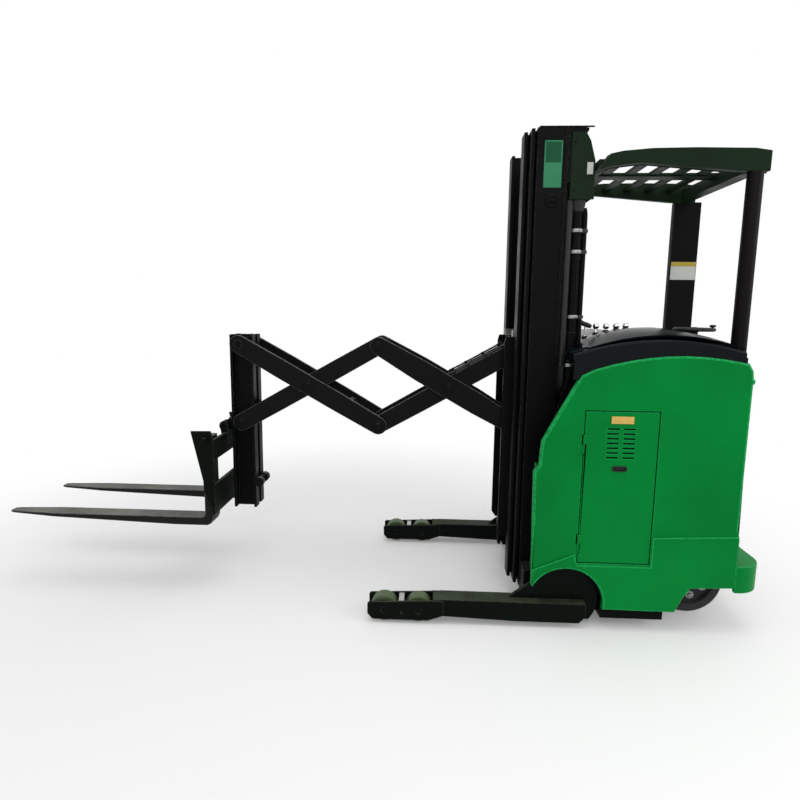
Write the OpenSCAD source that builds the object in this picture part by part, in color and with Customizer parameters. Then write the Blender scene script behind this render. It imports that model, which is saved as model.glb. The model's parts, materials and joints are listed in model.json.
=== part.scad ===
// Double-deep reach truck: straddle chassis, three-stage mast, scissor reach and forks.
// X runs forward to the fork tips, Y to the truck's left, Z up; the floor is Z 0.

/* [Straddle legs] */
// distance between the two leg centre lines
leg_gauge = 1000; // [900:5:1200]
// width of a leg beam
leg_w = 100; // [80:1:130]
// leg tip to the front edge of the body
leg_reach = 764; // [650:1:900]
// length of the leg beam behind its tip
leg_len = 1030; // [950:1:1150]
// top of the leg beam above the floor
leg_top = 124; // [110:1:150]
// length of the open wheel pocket at the tip
pocket_len = 313; // [300:1:360]
// top of the pocket's side plates
pocket_top = 104; // [90:1:115]
// thickness of the pocket's side plates
pocket_plate = 12; // [8:1:16]

/* [Load wheels] */
// diameter of a load wheel
load_wheel_d = 127; // [115:1:140]
// width of a load wheel
load_wheel_w = 66; // [50:1:72]
// distance between the two wheels of a leg
load_wheel_pitch = 166; // [150:1:180]
// tip of the leg to the front wheel's centre
load_wheel_in = 79; // [72:1:90]
// diameter of a load wheel's axle
load_axle_d = 25; // [18:1:32]

/* [Body] */
// outer width of the body
body_w = 1110; // [1000:1:1300]
// length of the side panels
body_len = 930; // [850:1:1050]
// highest point of the side panels
body_top = 1335; // [1250:1:1420]
// lower edge of the side panels
body_low = 104; // [95:1:125]
// thickness of the side panels
panel_t = 25; // [15:1:35]
// how far the lower skirt stands proud
skirt_out = 10; // [5:1:18]
// height of the skirt's upper edge at the rear
skirt_top = 462; // [420:1:500]
// height of the rear wheel arch
arch_top = 224; // [200:1:260]
// how far the rear step stands out behind the panels
bumper_out = 138; // [110:1:170]
// top of the rear step
bumper_top = 335; // [320:1:350]
// width of the battery
battery_w = 800; // [700:1:860]
// top of the battery
battery_top = 700; // [600:1:760]

/* [Service door] */
// width of a service door
door_w = 324; // [280:1:360]
// height of a service door
door_h = 710; // [650:1:760]
// lower edge of a service door
door_low = 332; // [325:1:350]
// thickness of a service door
door_t = 22; // [15:1:30]
// gap round a service door
door_gap = 5; // [5:0.5:8]
// rows of louvres
louvre_rows = 7; // [4:1:9]
// width of one louvre
louvre_w = 54; // [40:1:64]
// height of one louvre slot
louvre_h = 8; // [5:1:11]
// distance between louvre rows
louvre_pitch = 22; // [18:1:26]

/* [Operator place] */
// width of the operator's well
well_w = 580; // [500:1:620]
// length of the operator's well
well_len = 440; // [400:1:470]
// floor of the operator's well
well_floor = 260; // [240:1:280]
// thickness of the well's walls
wall_t = 20; // [12:1:25]

/* [Console] */
// top of the console
console_top = 1386; // [1370:1:1440]
// thickness of the console at its edge
console_t = 30; // [22:1:40]
// number of control levers
levers = 4; // [2:1:5]
// distance between control levers
lever_pitch = 46; // [40:1:52]
// distance of the levers from the centre line
lever_y = 200; // [150:1:260]
// height of the lever knobs above the console's top
lever_h = 22; // [15:1:40]

/* [Overhead guard] */
// top of the overhead guard
guard_top = 2200; // [2120:1:2300]
// outer width of the overhead guard
guard_w = 790; // [720:1:850]
// length of the overhead guard
guard_len = 750; // [680:1:800]
// height of the guard's side rails
guard_h = 92; // [80:1:110]
// number of roof bars
guard_bars = 5; // [4:1:6]
// width of a roof bar
guard_bar_w = 46; // [35:1:50]
// diameter of the left pillar
pillar_d = 68; // [60:1:74]
// depth of the flat right pillar
pillar_flat = 150; // [120:1:155]

/* [Mast] */
// top of the mast above the floor
mast_top = 2303; // [2250:1:2400]
// lower end of the mast rails
mast_low = 106; // [104:1:140]
// outer width of the mast
mast_w = 672; // [650:1:720]
// depth of one rail
rail_d = 140; // [130:1:150]
// thickness of the rail flanges
rail_flange = 16; // [12:1:18]
// thickness of the rail webs
rail_web = 12; // [8:1:14]
// width of a rail flange to each side of the next rail
rail_lip = 46; // [44:1:50]
// clear gap between nested rails
rail_gap = 6; // [6:0.5:8]
// outer diameter of a main lift cylinder
lift_d = 50; // [46:1:60]
// diameter of a main lift rod
lift_rod_d = 34; // [28:1:36]
// stroke of each mast stage
mast_stroke = 1600; // [1200:10:1650]

/* [Scissor reach] */
// distance between the upper scissor pivots
pitch = 740; // [700:1:760]
// height of the upper scissor pivots
pivot_top = 1294; // [1250:1:1330]
// drop from the upper to the lower scissor pivots
pivot_drop = 422; // [400:1:440]
// thickness of a scissor arm plate
arm_t = 20; // [16:1:22]
// half depth of an arm at its ends
arm_r = 46; // [42:1:50]
// half depth of a rear outer arm at its middle
arm_mid_r = 57; // [50:1:62]
// gap between neighbouring arm plates
arm_gap = 5; // [5:0.5:7]
// half width of the scissor's channels
channel_half = 75; // [70:1:85]
// thickness of the channel flanges
channel_t = 14; // [10:1:16]
// diameter of the scissor rollers
roller_d = 88; // [80:1:92]
// clear gap at each side of a scissor roller
roller_gap = 4; // [4:0.5:6]
// diameter of the scissor pins
pin_d = 40; // [34:1:46]
// radial play of a pin in its bore
pin_play = 0.3; // [0.2:0.05:0.4]

/* [Carriages] */
// lower end of the mast carriage
carriage_low = 300; // [290:1:320]
// upper end of the mast carriage
carriage_top = 1352; // [1345:1:1380]
// thickness of the mast carriage's cheek plates
cheek_t = 18; // [14:1:19]
// lower end of the fork frame
frame_low = 388; // [380:1:410]
// upper end of the fork frame
frame_top = 1342; // [1338:1:1380]
// height of the fork tilt pin
tilt_z = 850; // [840:1:900]

/* [Forks] */
// length of a fork blade
fork_len = 1075; // [900:5:1200]
// width of a fork
fork_w = 100; // [80:1:120]
// thickness of a fork at its heel
fork_t = 44; // [38:1:50]
// distance between the fork centre lines
fork_spread = 453; // [400:1:520]
// top of the fork blades
fork_z = 396; // [394:1:420]

/* [Rear wheels] */
// diameter of the drive wheel
drive_d = 330; // [310:1:340]
// width of the drive wheel
drive_w = 130; // [110:1:140]
// how far the drive wheel sits inside the middle of its bay
drive_off = 15; // [0:1:30]
// diameter of a caster wheel
caster_d = 150; // [140:1:155]
// width of one caster wheel
caster_w = 42; // [36:1:46]
// distance of the caster from the right panel
caster_in = 190; // [170:1:210]
// diameter of the drive motor
motor_d = 180; // [150:1:190]
// height of the drive motor
motor_h = 358; // [300:1:400]

/* [Hidden] */
$fn = 64;
// main lines along the truck, measured from the leg tips
x_bf = -leg_reach;
x_br = x_bf - body_len;
x_rear = x_br - bumper_out;
// corners and wall of the rear step
step_r = 120;
step_wall = 24;
y_leg = leg_gauge / 2;
y_body = body_w / 2;
y_skin = y_body - skirt_out;
x_wheel_1 = -load_wheel_in;
x_wheel_2 = x_wheel_1 - load_wheel_pitch;
load_r = load_wheel_d / 2;
x_rocker = (x_wheel_1 + x_wheel_2) / 2;
// shoulder plate and arch of the legs
x_shoulder = x_bf - 166;
z_shoulder = 125;
shoulder_r = 160;
arch_r = shoulder_r + 14;
// service door and louvres
x_door_f = x_bf - 214;
x_door_r = x_door_f - door_w;
x_door_mid = (x_door_f + x_door_r) / 2;
door_top = door_low + door_h;
knuckle_r = 4.5;
knuckle_l = 40;
x_hinge = x_door_f + 2.5;
y_hinge = y_skin - 1;
knuckle_z = [door_low + 90, door_top - 150];
// operator well
x_well = x_br + well_len;
y_well_r = -(y_skin - panel_t);
y_well_l = y_well_r + well_w;
x_wall_r = x_br + 34;
// nested mast rails, outer to inner
x_rail_o = x_bf + 19;
rail_step = rail_flange + 8;
y_rail_o = mast_w / 2;
y_rail_m = y_rail_o - rail_web - rail_lip + 4 - rail_gap;
y_rail_i = y_rail_m - rail_web - rail_lip + 4 - rail_gap;
x_rail_m = x_rail_o + rail_step;
x_rail_i = x_rail_m + rail_step;
x_rail_back = x_rail_o - rail_d;
tie_t = 15;
x_lift = x_rail_back - 62;
y_lift = y_rail_o - 36;
lift_top = mast_top - 328;
x_bulk = x_lift - 44;
// scissor
x_pin = x_rail_i - 52;
x_t0 = x_pin;
x_roll = x_rail_i - rail_d / 2 - 1;
x_t1 = x_pin + pitch;
x_t2 = x_pin + 2 * pitch;
pivot_low = pivot_top - pivot_drop;
pivot_mid = (pivot_top + pivot_low) / 2;
arm_len = sqrt(pitch * pitch + pivot_drop * pivot_drop);
arm_tilt = atan2(pivot_drop, pitch);
channel_d = roller_d + 2 * roller_gap + 2 * channel_t;
y_inner = channel_half + arm_gap;
y_outer = y_inner + arm_t + arm_gap;
y_cheek = y_outer + arm_t + 15;
boss_t = 4;
// forks
x_fork = x_t2 + 152;
x_tip = x_fork + fork_len;
fork_shank_t = 45;
x_bar = x_fork - fork_shank_t;
bar_t = 20;
x_tilt = x_t2 + channel_d / 2 + 38;
y_fork = fork_spread / 2;
bar_half = y_fork + fork_w / 2 + 20;
// rear wheels
drive_r = drive_d / 2;
drive_y = (y_well_l + wall_t + y_skin - panel_t) / 2 - drive_off;
caster_y = y_skin - panel_t - caster_in;
x_drive = x_br + 112;
x_caster = x_br + 130;
caster_r = caster_d / 2;
caster_trail = 34;
drive_neck_r = 55;
yoke_half = 45;
yoke_t = 22;
yoke_gap = 8;
caster_neck_r = 28;
// overhead guard
x_guard_r = x_br - 58;
x_guard_f = x_guard_r + guard_len;
// steering wheel
x_steer = x_br + 164;
steer_seat = console_crown(x_steer) + 9;
// the whole part is centred on its length
x_mid = (x_tip + x_rear) / 2;

// height of the side panels' crowned upper edge at x
function crown(x) = body_top - 0.00042 * pow(x - x_bf + 546, 2);
// height of the console's crowned top at x
function console_crown(x) = console_top - 0.0005 * pow(x - x_bf + 560, 2);

// a box given by its two corners
module block(x0, x1, y0, y1, z0, z1) {
  translate([min(x0, x1), min(y0, y1), min(z0, z1)])
    cube([abs(x1 - x0), abs(y1 - y0), abs(z1 - z0)]);
}

// a profile in X and Z drawn between two Y values
module across(y0, y1) {
  translate([0, max(y0, y1), 0])
    rotate([90, 0, 0])
      linear_extrude(height = abs(y1 - y0))
        children();
}

// a round bar along Y
module bar_y(x, z, d, y0, y1) {
  translate([x, min(y0, y1), z])
    rotate([-90, 0, 0])
      cylinder(d = d, h = abs(y1 - y0));
}

// a child and its mirror image on the truck's other side
module both_sides() {
  children();
  mirror([0, 1, 0])
    children();
}

// moves the finished piece so that the truck is centred on its length
module placed() {
  translate([-x_mid, 0, 0])
    children();
}

// side outline of a panel from the front edge over the crown to the rear edge
module panel_outline() {
  polygon(concat(
    [[x_bf - 8, body_low], [x_bf + 2, 535], [x_bf + 6, 760], [x_bf - 18, 790]],
    [for (a = [3:4:31]) [x_bf - 18 - 916 * (1 - cos(a)), 790 + 916 * sin(a)]],
    [for (i = [0:9]) let (x = x_bf - 162 - i * (body_len - 222) / 9) [x, crown(x)]],
    [[x_br + 24, crown(x_br + 24) - 12], [x_br + 4, crown(x_br) - 40], [x_br, crown(x_br) - 70],
      [x_br, body_low]]));
}

// raised lower skirt of a panel
module skirt_outline() {
  polygon([[x_bf - 8, body_low], [x_bf - 6, 290], [x_bf - 196, 372], [x_door_f + 2, door_low - 12],
    [x_door_r - 8, door_low - 12], [x_door_r - 8, skirt_top], [x_br, skirt_top + 16], [x_br, body_low]]);
}

// openings of a panel for the leg, the door and the rear wheel
module panel_cuts() {
  across(y_body + 1, 0)
    translate([x_shoulder, z_shoulder])
      circle(r = arch_r);
  block(x_shoulder, x_bf + 10, 0, y_body + 1, 0, z_shoulder + 84);
  block(x_door_f + door_gap, x_door_r - door_gap, 0, y_body + 1, door_low - door_gap,
    door_top + door_gap);
  across(y_body + 1, 0)
    polygon([[x_br + 262, body_low - 1], [x_br + 230, 172], [x_br + 196, arch_top],
      [x_br - 1, arch_top + 6], [x_br - 1, body_low - 1]]);
}

// one side of the body
module side_panel() {
  color("ForestGreen")
    difference() {
      union() {
        across(y_skin - panel_t, y_skin)
          panel_outline();
        across(y_skin - 1, y_body)
          skirt_outline();
        block(x_bf - 14, x_bf - 34, y_skin - 96, y_skin - 1, 260, 780);
        across(y_skin - panel_t, y_skin)
          translate([x_br + 7, crown(x_br) - 88])
            circle(r = 16);
      }
      panel_cuts();
      for (z = knuckle_z)
        block(x_door_f, x_hinge + knuckle_r + 6, y_skin - panel_t - 1, y_skin + 6,
          z - 5, z + knuckle_l + 5);
    }
  color("ForestGreen")
    for (z = knuckle_z)
      bar_z(x_hinge, y_hinge, z - 5.5 - knuckle_l, z - 0.5, 2 * knuckle_r);
}

// one service door with louvres, a finger slot and hinge knuckles at its front edge
module service_door() {
  color("ForestGreen")
    difference() {
      block(x_door_f, x_door_r, y_skin - door_t, y_skin - 2, door_low, door_top);
      for (c = [-1, 1])
        for (r = [0 : louvre_rows - 1])
          translate([x_door_mid + c * (louvre_w / 2 + 9) - louvre_w / 2, y_skin - door_t - 1,
              door_top - 75 - r * louvre_pitch - louvre_h])
            cube([louvre_w, door_t + 2, louvre_h]);
      for (e = [-1, 1])
        across(y_skin - 14, y_skin + 1)
          translate([x_door_mid + e * 22, door_low + 449])
            circle(d = 22);
      block(x_door_mid - 22, x_door_mid + 22, y_skin - 14, y_skin + 1, door_low + 438, door_low + 460);
      for (z = knuckle_z)
        block(x_door_f + 1, x_hinge - knuckle_r - 5, y_skin - door_t - 1, y_skin,
          z - knuckle_l - 11, z - 0.2);
    }
  color("ForestGreen")
    for (z = knuckle_z)
      bar_z(x_hinge, y_hinge, z, z + knuckle_l, 2 * knuckle_r);
}

// a straddle leg: beam, wheel pocket and rounded shoulder plate
module leg() {
  y0 = y_leg - leg_w / 2;
  y1 = y_leg + leg_w / 2;
  yo = y_leg + 55;
  yi = y_leg - 55;
  color("DarkOliveGreen")
    difference() {
      union() {
        across(y0, y1)
          polygon([[-pocket_len + 2, 43], [-pocket_len + 2, leg_top - 6], [-pocket_len - 40, leg_top],
            [-leg_len, leg_top], [-leg_len, 60], [-leg_len + 30, 28], [-700, 28]]);
        for (p = [[yi, yi + pocket_plate], [yo - pocket_plate, yo]])
          across(p[0], p[1])
            polygon([[0, 44], [0, pocket_top - 8], [-8, pocket_top], [-pocket_len, pocket_top + 14],
              [-pocket_len - 48, pocket_top + 14], [-pocket_len - 48, 43], [-pocket_len + 25, 17], [-24, 17]]);
        across(y_leg - 18, y_leg + 4)
          union() {
            translate([x_shoulder, z_shoulder])
              circle(r = shoulder_r);
            polygon([[-668, leg_top - 2], [x_shoulder + 78, z_shoulder + 140], [x_shoulder, z_shoulder],
              [x_shoulder, leg_top - 40], [-668, leg_top - 40]]);
          }
      }
      block(-pocket_len + 2, 10, yi + pocket_plate, yo - pocket_plate, 0, 200);
      for (x = [x_wheel_1, x_wheel_2])
        bar_y(x, load_r, load_axle_d + 3, yi - 1, yo + 1);
      bar_y(x_rocker, 47, 24.2, yi - 1, yo + 1);
      block(x_shoulder - 200, x_shoulder + 160, y_leg - 20, y_leg + 6, -60, 28);
    }
}

// rocker beams with the load wheel axles and the middle spacer
module rockers() {
  color("Silver")
    both_sides()
      union() {
        for (x = [x_wheel_1, x_wheel_2])
          bar_y(x, load_r, load_axle_d, y_leg - 53, y_leg + 53);
        block(x_rocker - 13, x_rocker + 13, y_leg - 43, y_leg + 43, 26, 108);
        bar_y(x_rocker, 47, 24, y_leg - 58, y_leg + 58);
        for (s = [-1, 1])
          block(x_wheel_1 + 14, x_wheel_2 - 14, y_leg + s * 37, y_leg + s * 42, load_r - 14, load_r + 14);
      }
}

// a load wheel with a bored hub
module load_wheel(x, side) {
  color("Gainsboro")
    translate([x, side * y_leg, load_r])
      rotate([90, 0, 0])
        rotate_extrude($fn = 96)
          polygon([[load_axle_d / 2 + pin_play, -load_wheel_w / 2], [30, -load_wheel_w / 2],
            [34, -load_wheel_w / 2 + 6], [44, -load_wheel_w / 2 + 6], [46, -load_wheel_w / 2],
            [load_r - 5, -load_wheel_w / 2], [load_r, -load_wheel_w / 2 + 5],
            [load_r, load_wheel_w / 2 - 5], [load_r - 5, load_wheel_w / 2], [46, load_wheel_w / 2],
            [44, load_wheel_w / 2 - 6], [34, load_wheel_w / 2 - 6], [30, load_wheel_w / 2],
            [load_axle_d / 2 + pin_play, load_wheel_w / 2]]);
}

// welded base of the truck
module chassis_frame() {
  y_beam = y_leg - leg_w / 2;
  y_in = y_skin - panel_t;
  y_bay = y_well_l + wall_t;
  z_floor = well_floor - 22;
  z_plate = drive_d + 92;
  x_bay = x_br + 300;
  color("DarkSlateGray")
    difference() {
      union() {
        block(x_bf - 20, -leg_len - 4, -y_beam, y_beam, 46, body_low - 6);
        block(-leg_len - 4, x_shoulder - arch_r, -y_beam, y_beam, 46, body_low - 6);
        block(x_shoulder - arch_r, x_bay, -y_in, y_in, 46, body_low - 6);
        block(x_bay, x_br + 20, y_well_r, y_well_l - 10, 186, z_floor);
        block(x_bay - 34, x_bay, y_well_r, y_well_l - 10, 46, z_floor);
        block(x_bay + 25, x_wall_r + wall_t, y_bay, y_in, z_plate, z_plate + 20);
        block(x_bay, x_bay + 25, y_bay, y_in, 46, z_plate + 1);
        both_sides()
          block(x_rail_back - 20, x_rail_o - 4, y_rail_o, y_beam, 46, 240);
      }
      block(x_bf + 1, x_bulk + 10, -y_rail_o, y_rail_o, 0, 300);
      translate([x_drive, drive_y, z_plate - 10])
        cylinder(r = drive_neck_r + pin_play, h = 60);
      translate([x_caster, -caster_y, 150])
        cylinder(r = caster_neck_r + pin_play, h = 60);
    }
  color("DarkSlateGray")
    block(x_rail_i - rail_d - 2, x_bulk + 10, -y_rail_o, y_rail_o, 46, mast_low - 14);
}

// dark wall behind the mast
module front_bulkhead() {
  y_in = y_skin - panel_t;
  z_low = z_shoulder + shoulder_r + 8;
  color("DarkSlateGray")
    union() {
      block(x_bulk, x_bulk - 18, -y_leg + leg_w / 2, y_leg - leg_w / 2, body_low - 6, z_low + 1);
      block(x_bulk, x_bulk - 18, -y_in, y_in, z_low, crown(x_bulk));
    }
}

// plates from the mast's sides back to the bulkhead
module mast_gussets() {
  color("DarkSlateGray")
    both_sides()
      across(y_rail_o, y_rail_o + 12)
        polygon([[x_bf - 36, 242], [x_bf - 36, 700], [x_bulk + 40, crown(x_bulk) - 60],
          [x_bulk, crown(x_bulk) - 60], [x_bulk, 242]]);
}

// plan of the rear step with its round corners, a given distance inside its skin
module step_plan(inset, front, low, high) {
  block(front, x_rear + step_r, -y_body + inset, y_body - inset, low, high);
  block(front, x_rear + inset, -y_body + step_r, y_body - step_r, low, high);
  for (s = [-1, 1])
    translate([x_rear + step_r, s * (y_body - step_r), low])
      cylinder(r = step_r - inset, h = high - low);
}

// step and bumper across the rear
module rear_step() {
  color("ForestGreen")
    difference() {
      step_plan(0, x_br, 208, bumper_top);
      step_plan(step_wall, x_br + 1, 200, bumper_top - 14);
      block(x_br, x_br + 200, -y_body - 1, y_body + 1, 200, bumper_top + 1);
    }
  color("DimGray")
    block(x_br, x_well - 2, y_well_r + 1, y_well_l - 1, well_floor - 22, well_floor);
}

// walls of the operator's well and the cover behind the drive unit
module operator_walls() {
  color("DarkSlateGray")
    union() {
      block(x_well, x_well + wall_t, y_well_r, y_well_l, well_floor - 22, crown(x_well + wall_t));
      block(x_well + wall_t, x_wall_r, y_well_l, y_well_l + wall_t, well_floor - 22, crown(x_wall_r) - 4);
      block(x_wall_r, x_wall_r + wall_t, y_well_l, y_skin - panel_t, drive_d + 92, crown(x_wall_r) - 4);
    }
}

// battery as one plain block
module battery() {
  color("DimGray")
    block(x_bulk - 22, x_well + wall_t + 6, -battery_w / 2, battery_w / 2, body_low - 6, battery_top);
}

// black crowned console with the well cut out
module console() {
  xs = [for (i = [0:10]) x_bf - 146 - i * (body_len - 186) / 10];
  color("Black")
    difference() {
      union() {
        across(-y_skin + 4, y_skin - 4)
          polygon(concat([for (x = xs) [x, crown(x) + 1]],
            [for (i = [10:-1:0]) [xs[i], min(crown(xs[i]) + console_t, console_crown(xs[i]))]]));
        across(-y_skin + 70, y_skin - 70)
          polygon(concat([for (x = xs) [x, crown(x) + 2]],
            [for (i = [10:-1:0]) [xs[i], console_crown(xs[i])]]));
        bar_z(x_steer, drive_y, steer_seat - 24, steer_seat, 76);
      }
      block(x_bf, x_bulk + 14, -y_rail_o - 40, y_rail_o + 40, 1000, 1500);
      block(x_well, x_br - 50, y_well_r, y_well_l + 2, 1000, 1500);
    }
}

// grip and row of lever knobs on the console
module control_levers() {
  x_first = x_bf - 338;
  z_knob = console_top + lever_h;
  color("Black")
    union() {
      bar_z(x_first + 68, lever_y, console_crown(x_first + 68) - 8, z_knob - 8, 26);
      translate([x_first + 68, lever_y, z_knob - 4])
        scale([1.3, 1, 0.8])
          sphere(d = 36, $fn = 32);
    }
  color("Silver")
    for (i = [0 : levers - 1])
      union() {
        let (x = x_first - i * lever_pitch) {
          bar_z(x, lever_y, console_crown(x) - 8, z_knob - 3, 10);
          translate([x, lever_y, z_knob])
            sphere(d = 22, $fn = 32);
        }
      }
}

// a round bar along Z
module bar_z(x, y, z0, z1, d) {
  translate([x, y, z0])
    cylinder(d = d, h = z1 - z0);
}

// roof of the overhead guard
module guard_roof() {
  yo = guard_w / 2;
  z0 = guard_top - guard_h - 8;
  bar_step = (guard_len - 160) / guard_bars;
  color("DarkSlateGray")
    union() {
      both_sides()
        across(yo - 40, yo)
          polygon([[x_guard_f, z0], [x_guard_f - 56, guard_top - 26], [x_guard_f - 112, guard_top - 14],
            [x_guard_f - 430, guard_top], [x_guard_r, guard_top - 16], [x_guard_r, z0],
            [x_guard_r + 130, z0], [x_guard_f - 200, z0 + 36], [x_guard_f - 60, z0 + 20]]);
      for (i = [0 : guard_bars - 1])
        block(x_guard_f - 112 - i * bar_step, x_guard_f - 112 - guard_bar_w - i * bar_step, -yo + 39, yo - 39,
          guard_top - 72, guard_top - 26);
      block(x_guard_f - 30, x_guard_r + 30, -45, 45, guard_top - 66, guard_top - 30);
      block(x_guard_f - 18, x_guard_f - 62, -yo + 39, yo - 39, z0 + 22, guard_top - 40);
      block(x_guard_r, x_guard_r + 70, -yo + 39, yo - 39, z0 + 10, guard_top - 30);
      both_sides()
        block(x_rail_back - tie_t, x_guard_f - 40, 190, 240, z0 + 24, guard_top - 44);
    }
}

// round rear pillar on the left
module guard_pillar_left() {
  color("DarkSlateGray")
    bar_z(x_br - 3, guard_w / 2 - 20, bumper_top, guard_top - guard_h - 8, pillar_d);
}

// flat rear pillar on the right
module guard_pillar_right() {
  color("DarkSlateGray")
    block(x_guard_r - 40 + pillar_flat, x_guard_r - 40, -guard_w / 2 - 2, -guard_w / 2 + 42, bumper_top,
      guard_top - guard_h - 8);
}

// outer rails, channels open to the inside
module mast_outer() {
  color("DarkSlateGray")
    both_sides()
      difference() {
        block(x_rail_back, x_rail_o, y_rail_o - rail_web - rail_lip + 6, y_rail_o, mast_low, mast_top);
        block(x_rail_back + rail_flange, x_rail_o - rail_flange, 0, y_rail_o - rail_web, 0, mast_top + 1);
      }
}

// cross ties of the outer rails
module mast_outer_ties() {
  color("DarkSlateGray")
    for (z = [[mast_low, mast_low + 114], [mast_top - 240, mast_top - 40]])
      block(x_rail_back, x_rail_back - tie_t, -y_rail_o, y_rail_o, z[0], z[1]);
}

// I-shaped rail of a moving stage
module stage_rail(x_front, y_web, low, high) {
  x_back = x_front - rail_d - 2;
  block(x_back, x_front, y_web - rail_web, y_web, low, high);
  for (x = [x_back, x_front - rail_flange])
    block(x, x + rail_flange, y_web - rail_web - rail_lip + 6, y_web + rail_lip - 4, low, high);
  block(x_back, x_back + rail_flange, y_web + rail_lip - 5, y_web + rail_lip - 4 + rail_gap - 0.3,
    low + 20, low + 160);
}

// middle rails
module mast_middle() {
  color("DimGray")
    both_sides()
      stage_rail(x_rail_m, y_rail_m, mast_low + 6, mast_top);
}

// cross ties of the middle rails with the crosshead of the lift rods
module mast_middle_ties() {
  x_back = x_rail_m - rail_d - 2;
  color("DimGray")
    union() {
      block(x_back, x_back - tie_t, -y_rail_m, y_rail_m, mast_low + 6, mast_low + 94);
      block(x_back, x_back - tie_t, -y_rail_m, y_rail_m, mast_top - 120, mast_top);
      both_sides() {
        block(x_back, x_lift - 28, y_rail_m - 52, y_rail_m, mast_top - 15, mast_top);
        block(x_lift + 28, x_lift - 28, y_rail_m - 52, y_lift + 28, mast_top - 15, mast_top);
      }
    }
}

// inner rails
module mast_inner() {
  color("DimGray")
    both_sides()
      stage_rail(x_rail_i, y_rail_i, mast_low + 12, mast_top);
}

// cross ties of the inner rails
module mast_inner_ties() {
  x_back = x_rail_i - rail_d - 2;
  color("DimGray")
    for (z = [[mast_low + 12, mast_low + 84], [mast_top - 883, mast_top - 783], [mast_top - 120, mast_top]])
      block(x_back, x_back - tie_t, -y_rail_i, y_rail_i, z[0], z[1]);
}

// barrels of the two main lift cylinders
module lift_barrels() {
  color("Gray")
    both_sides()
      difference() {
        union() {
          bar_z(x_lift, y_lift, mast_low - 14, lift_top, lift_d);
          bar_z(x_lift, y_lift, lift_top - 40, lift_top, lift_d + 8);
          for (drop = [740, 605, 255, 125])
            bar_z(x_lift, y_lift, lift_top - drop, lift_top - drop + 14, lift_d + 8);
          block(x_rail_back, x_lift, y_lift - 12, y_lift + 12, lift_top - 100, lift_top - 40);
          block(x_rail_back - tie_t, x_lift, y_lift - 12, y_lift + 12, mast_low + 24, mast_low + 104);
        }
        bar_z(x_lift, y_lift, mast_low + 10, lift_top + 1, lift_rod_d + 6);
      }
}

// rods of the two main lift cylinders
module lift_rods() {
  color("Silver")
    both_sides()
      bar_z(x_lift, y_lift, mast_low + 40, mast_top - 15, lift_rod_d);
}

// covers round the tops of the lift rods
module mast_covers() {
  x1 = x_rail_back - tie_t;
  color("DarkSlateGray")
    both_sides()
      difference() {
        across(y_lift - 46, y_lift + 38)
          polygon([[x1, lift_top + 12], [x1, mast_top - 22], [x1 - 62, mast_top - 22],
            [x1 - 84, mast_top - 60], [x1 - 108, mast_top - 145], [x1 - 108, lift_top + 24],
            [x1 - 96, lift_top + 12]]);
        block(x1 - 6, x1 - 98, y_lift - 40, y_lift + 32, lift_top, mast_top);
      }
}

// lift chains hanging on the inner stage
module lift_chains() {
  x_c = x_rail_i - rail_d - 2;
  color("Black")
    both_sides()
      block(x_c, x_c + 16, 100, 122, mast_low + 40, mast_top - 60);
}

// vertical channel pair that the scissor's rollers run in
module scissor_channels(x, low, high) {
  both_sides()
    difference() {
      block(x - channel_d / 2, x + channel_d / 2, 18, channel_half, low, high);
      block(x - channel_d / 2 + channel_t, x + channel_d / 2 - channel_t, 32, channel_half + 1, low - 1,
        high + 1);
    }
}

// mast carriage that carries the scissor
module mast_carriage() {
  x_b = x_pin - channel_d / 2;
  color("DarkSlateGray")
    union() {
      scissor_channels(x_pin, carriage_low + 40, carriage_top);
      for (z = [[carriage_low, carriage_low + 130], [carriage_top - 110, carriage_top]])
        block(x_b, x_b + channel_t, -y_cheek - cheek_t, y_cheek + cheek_t, z[0], z[1]);
      both_sides()
        across(y_cheek, y_cheek + cheek_t)
          polygon([[x_b, carriage_low], [x_b, carriage_top], [x_pin + 88, carriage_top],
            [x_pin + 96, carriage_top - 30], [x_pin + 96, carriage_low + 30], [x_pin + 76, carriage_low]]);
      both_sides()
        block(x_pin - 34, x_pin + 34, 18, channel_half, pivot_top - 40, pivot_top + 34);
      bar_y(x_pin, pivot_top, pin_d, -y_inner - arm_t - 4, y_inner + arm_t + 4);
      for (z = [carriage_low + 70, carriage_top - 60])
        bar_y(x_roll, z, 30, -y_cheek - cheek_t - 36, -y_cheek);
      for (z = [carriage_low + 70, carriage_top - 60])
        bar_y(x_roll, z, 30, y_cheek, y_cheek + cheek_t + 36);
      block(x_pin - 40, x_pin + 40, -20, 20, carriage_low + 60, carriage_low + 110);
    }
}

// rollers that guide the mast carriage in the inner rails
module carriage_rollers() {
  color("Silver")
    both_sides()
      for (z = [carriage_low + 70, carriage_top - 60])
        difference() {
          bar_y(x_roll, z, rail_d + 2 - 2 * rail_flange - 0.6, y_cheek + cheek_t + 10,
            y_cheek + cheek_t + 35);
          bar_y(x_roll, z, 30.1, y_cheek, y_cheek + cheek_t + 40);
        }
}

// one arm plate from its lower or upper end, along its own X
module arm_plate(mid_r) {
  union() {
    linear_extrude(height = arm_t)
      polygon([[0, -arm_r], [arm_len * 0.3, -mid_r], [arm_len * 0.7, -mid_r], [arm_len, -arm_r],
        [arm_len, arm_r], [arm_len * 0.7, mid_r], [arm_len * 0.3, mid_r], [0, arm_r]]);
    for (x = [0, arm_len])
      translate([x, 0, 0])
        cylinder(r = arm_r, h = arm_t);
  }
}

// an arm laid from a pivot at a slope, its near face at y
module arm(x, z, slope, y, mid_r, bores) {
  translate([x, y, z])
    rotate([90, 0, 0])
      rotate([0, 0, slope])
        translate([0, 0, -arm_t])
          difference() {
            arm_plate(mid_r);
            for (b = bores)
              translate([b, 0, -1])
                cylinder(r = pin_d / 2 + pin_play, h = arm_t + 2);
          }
}

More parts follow.
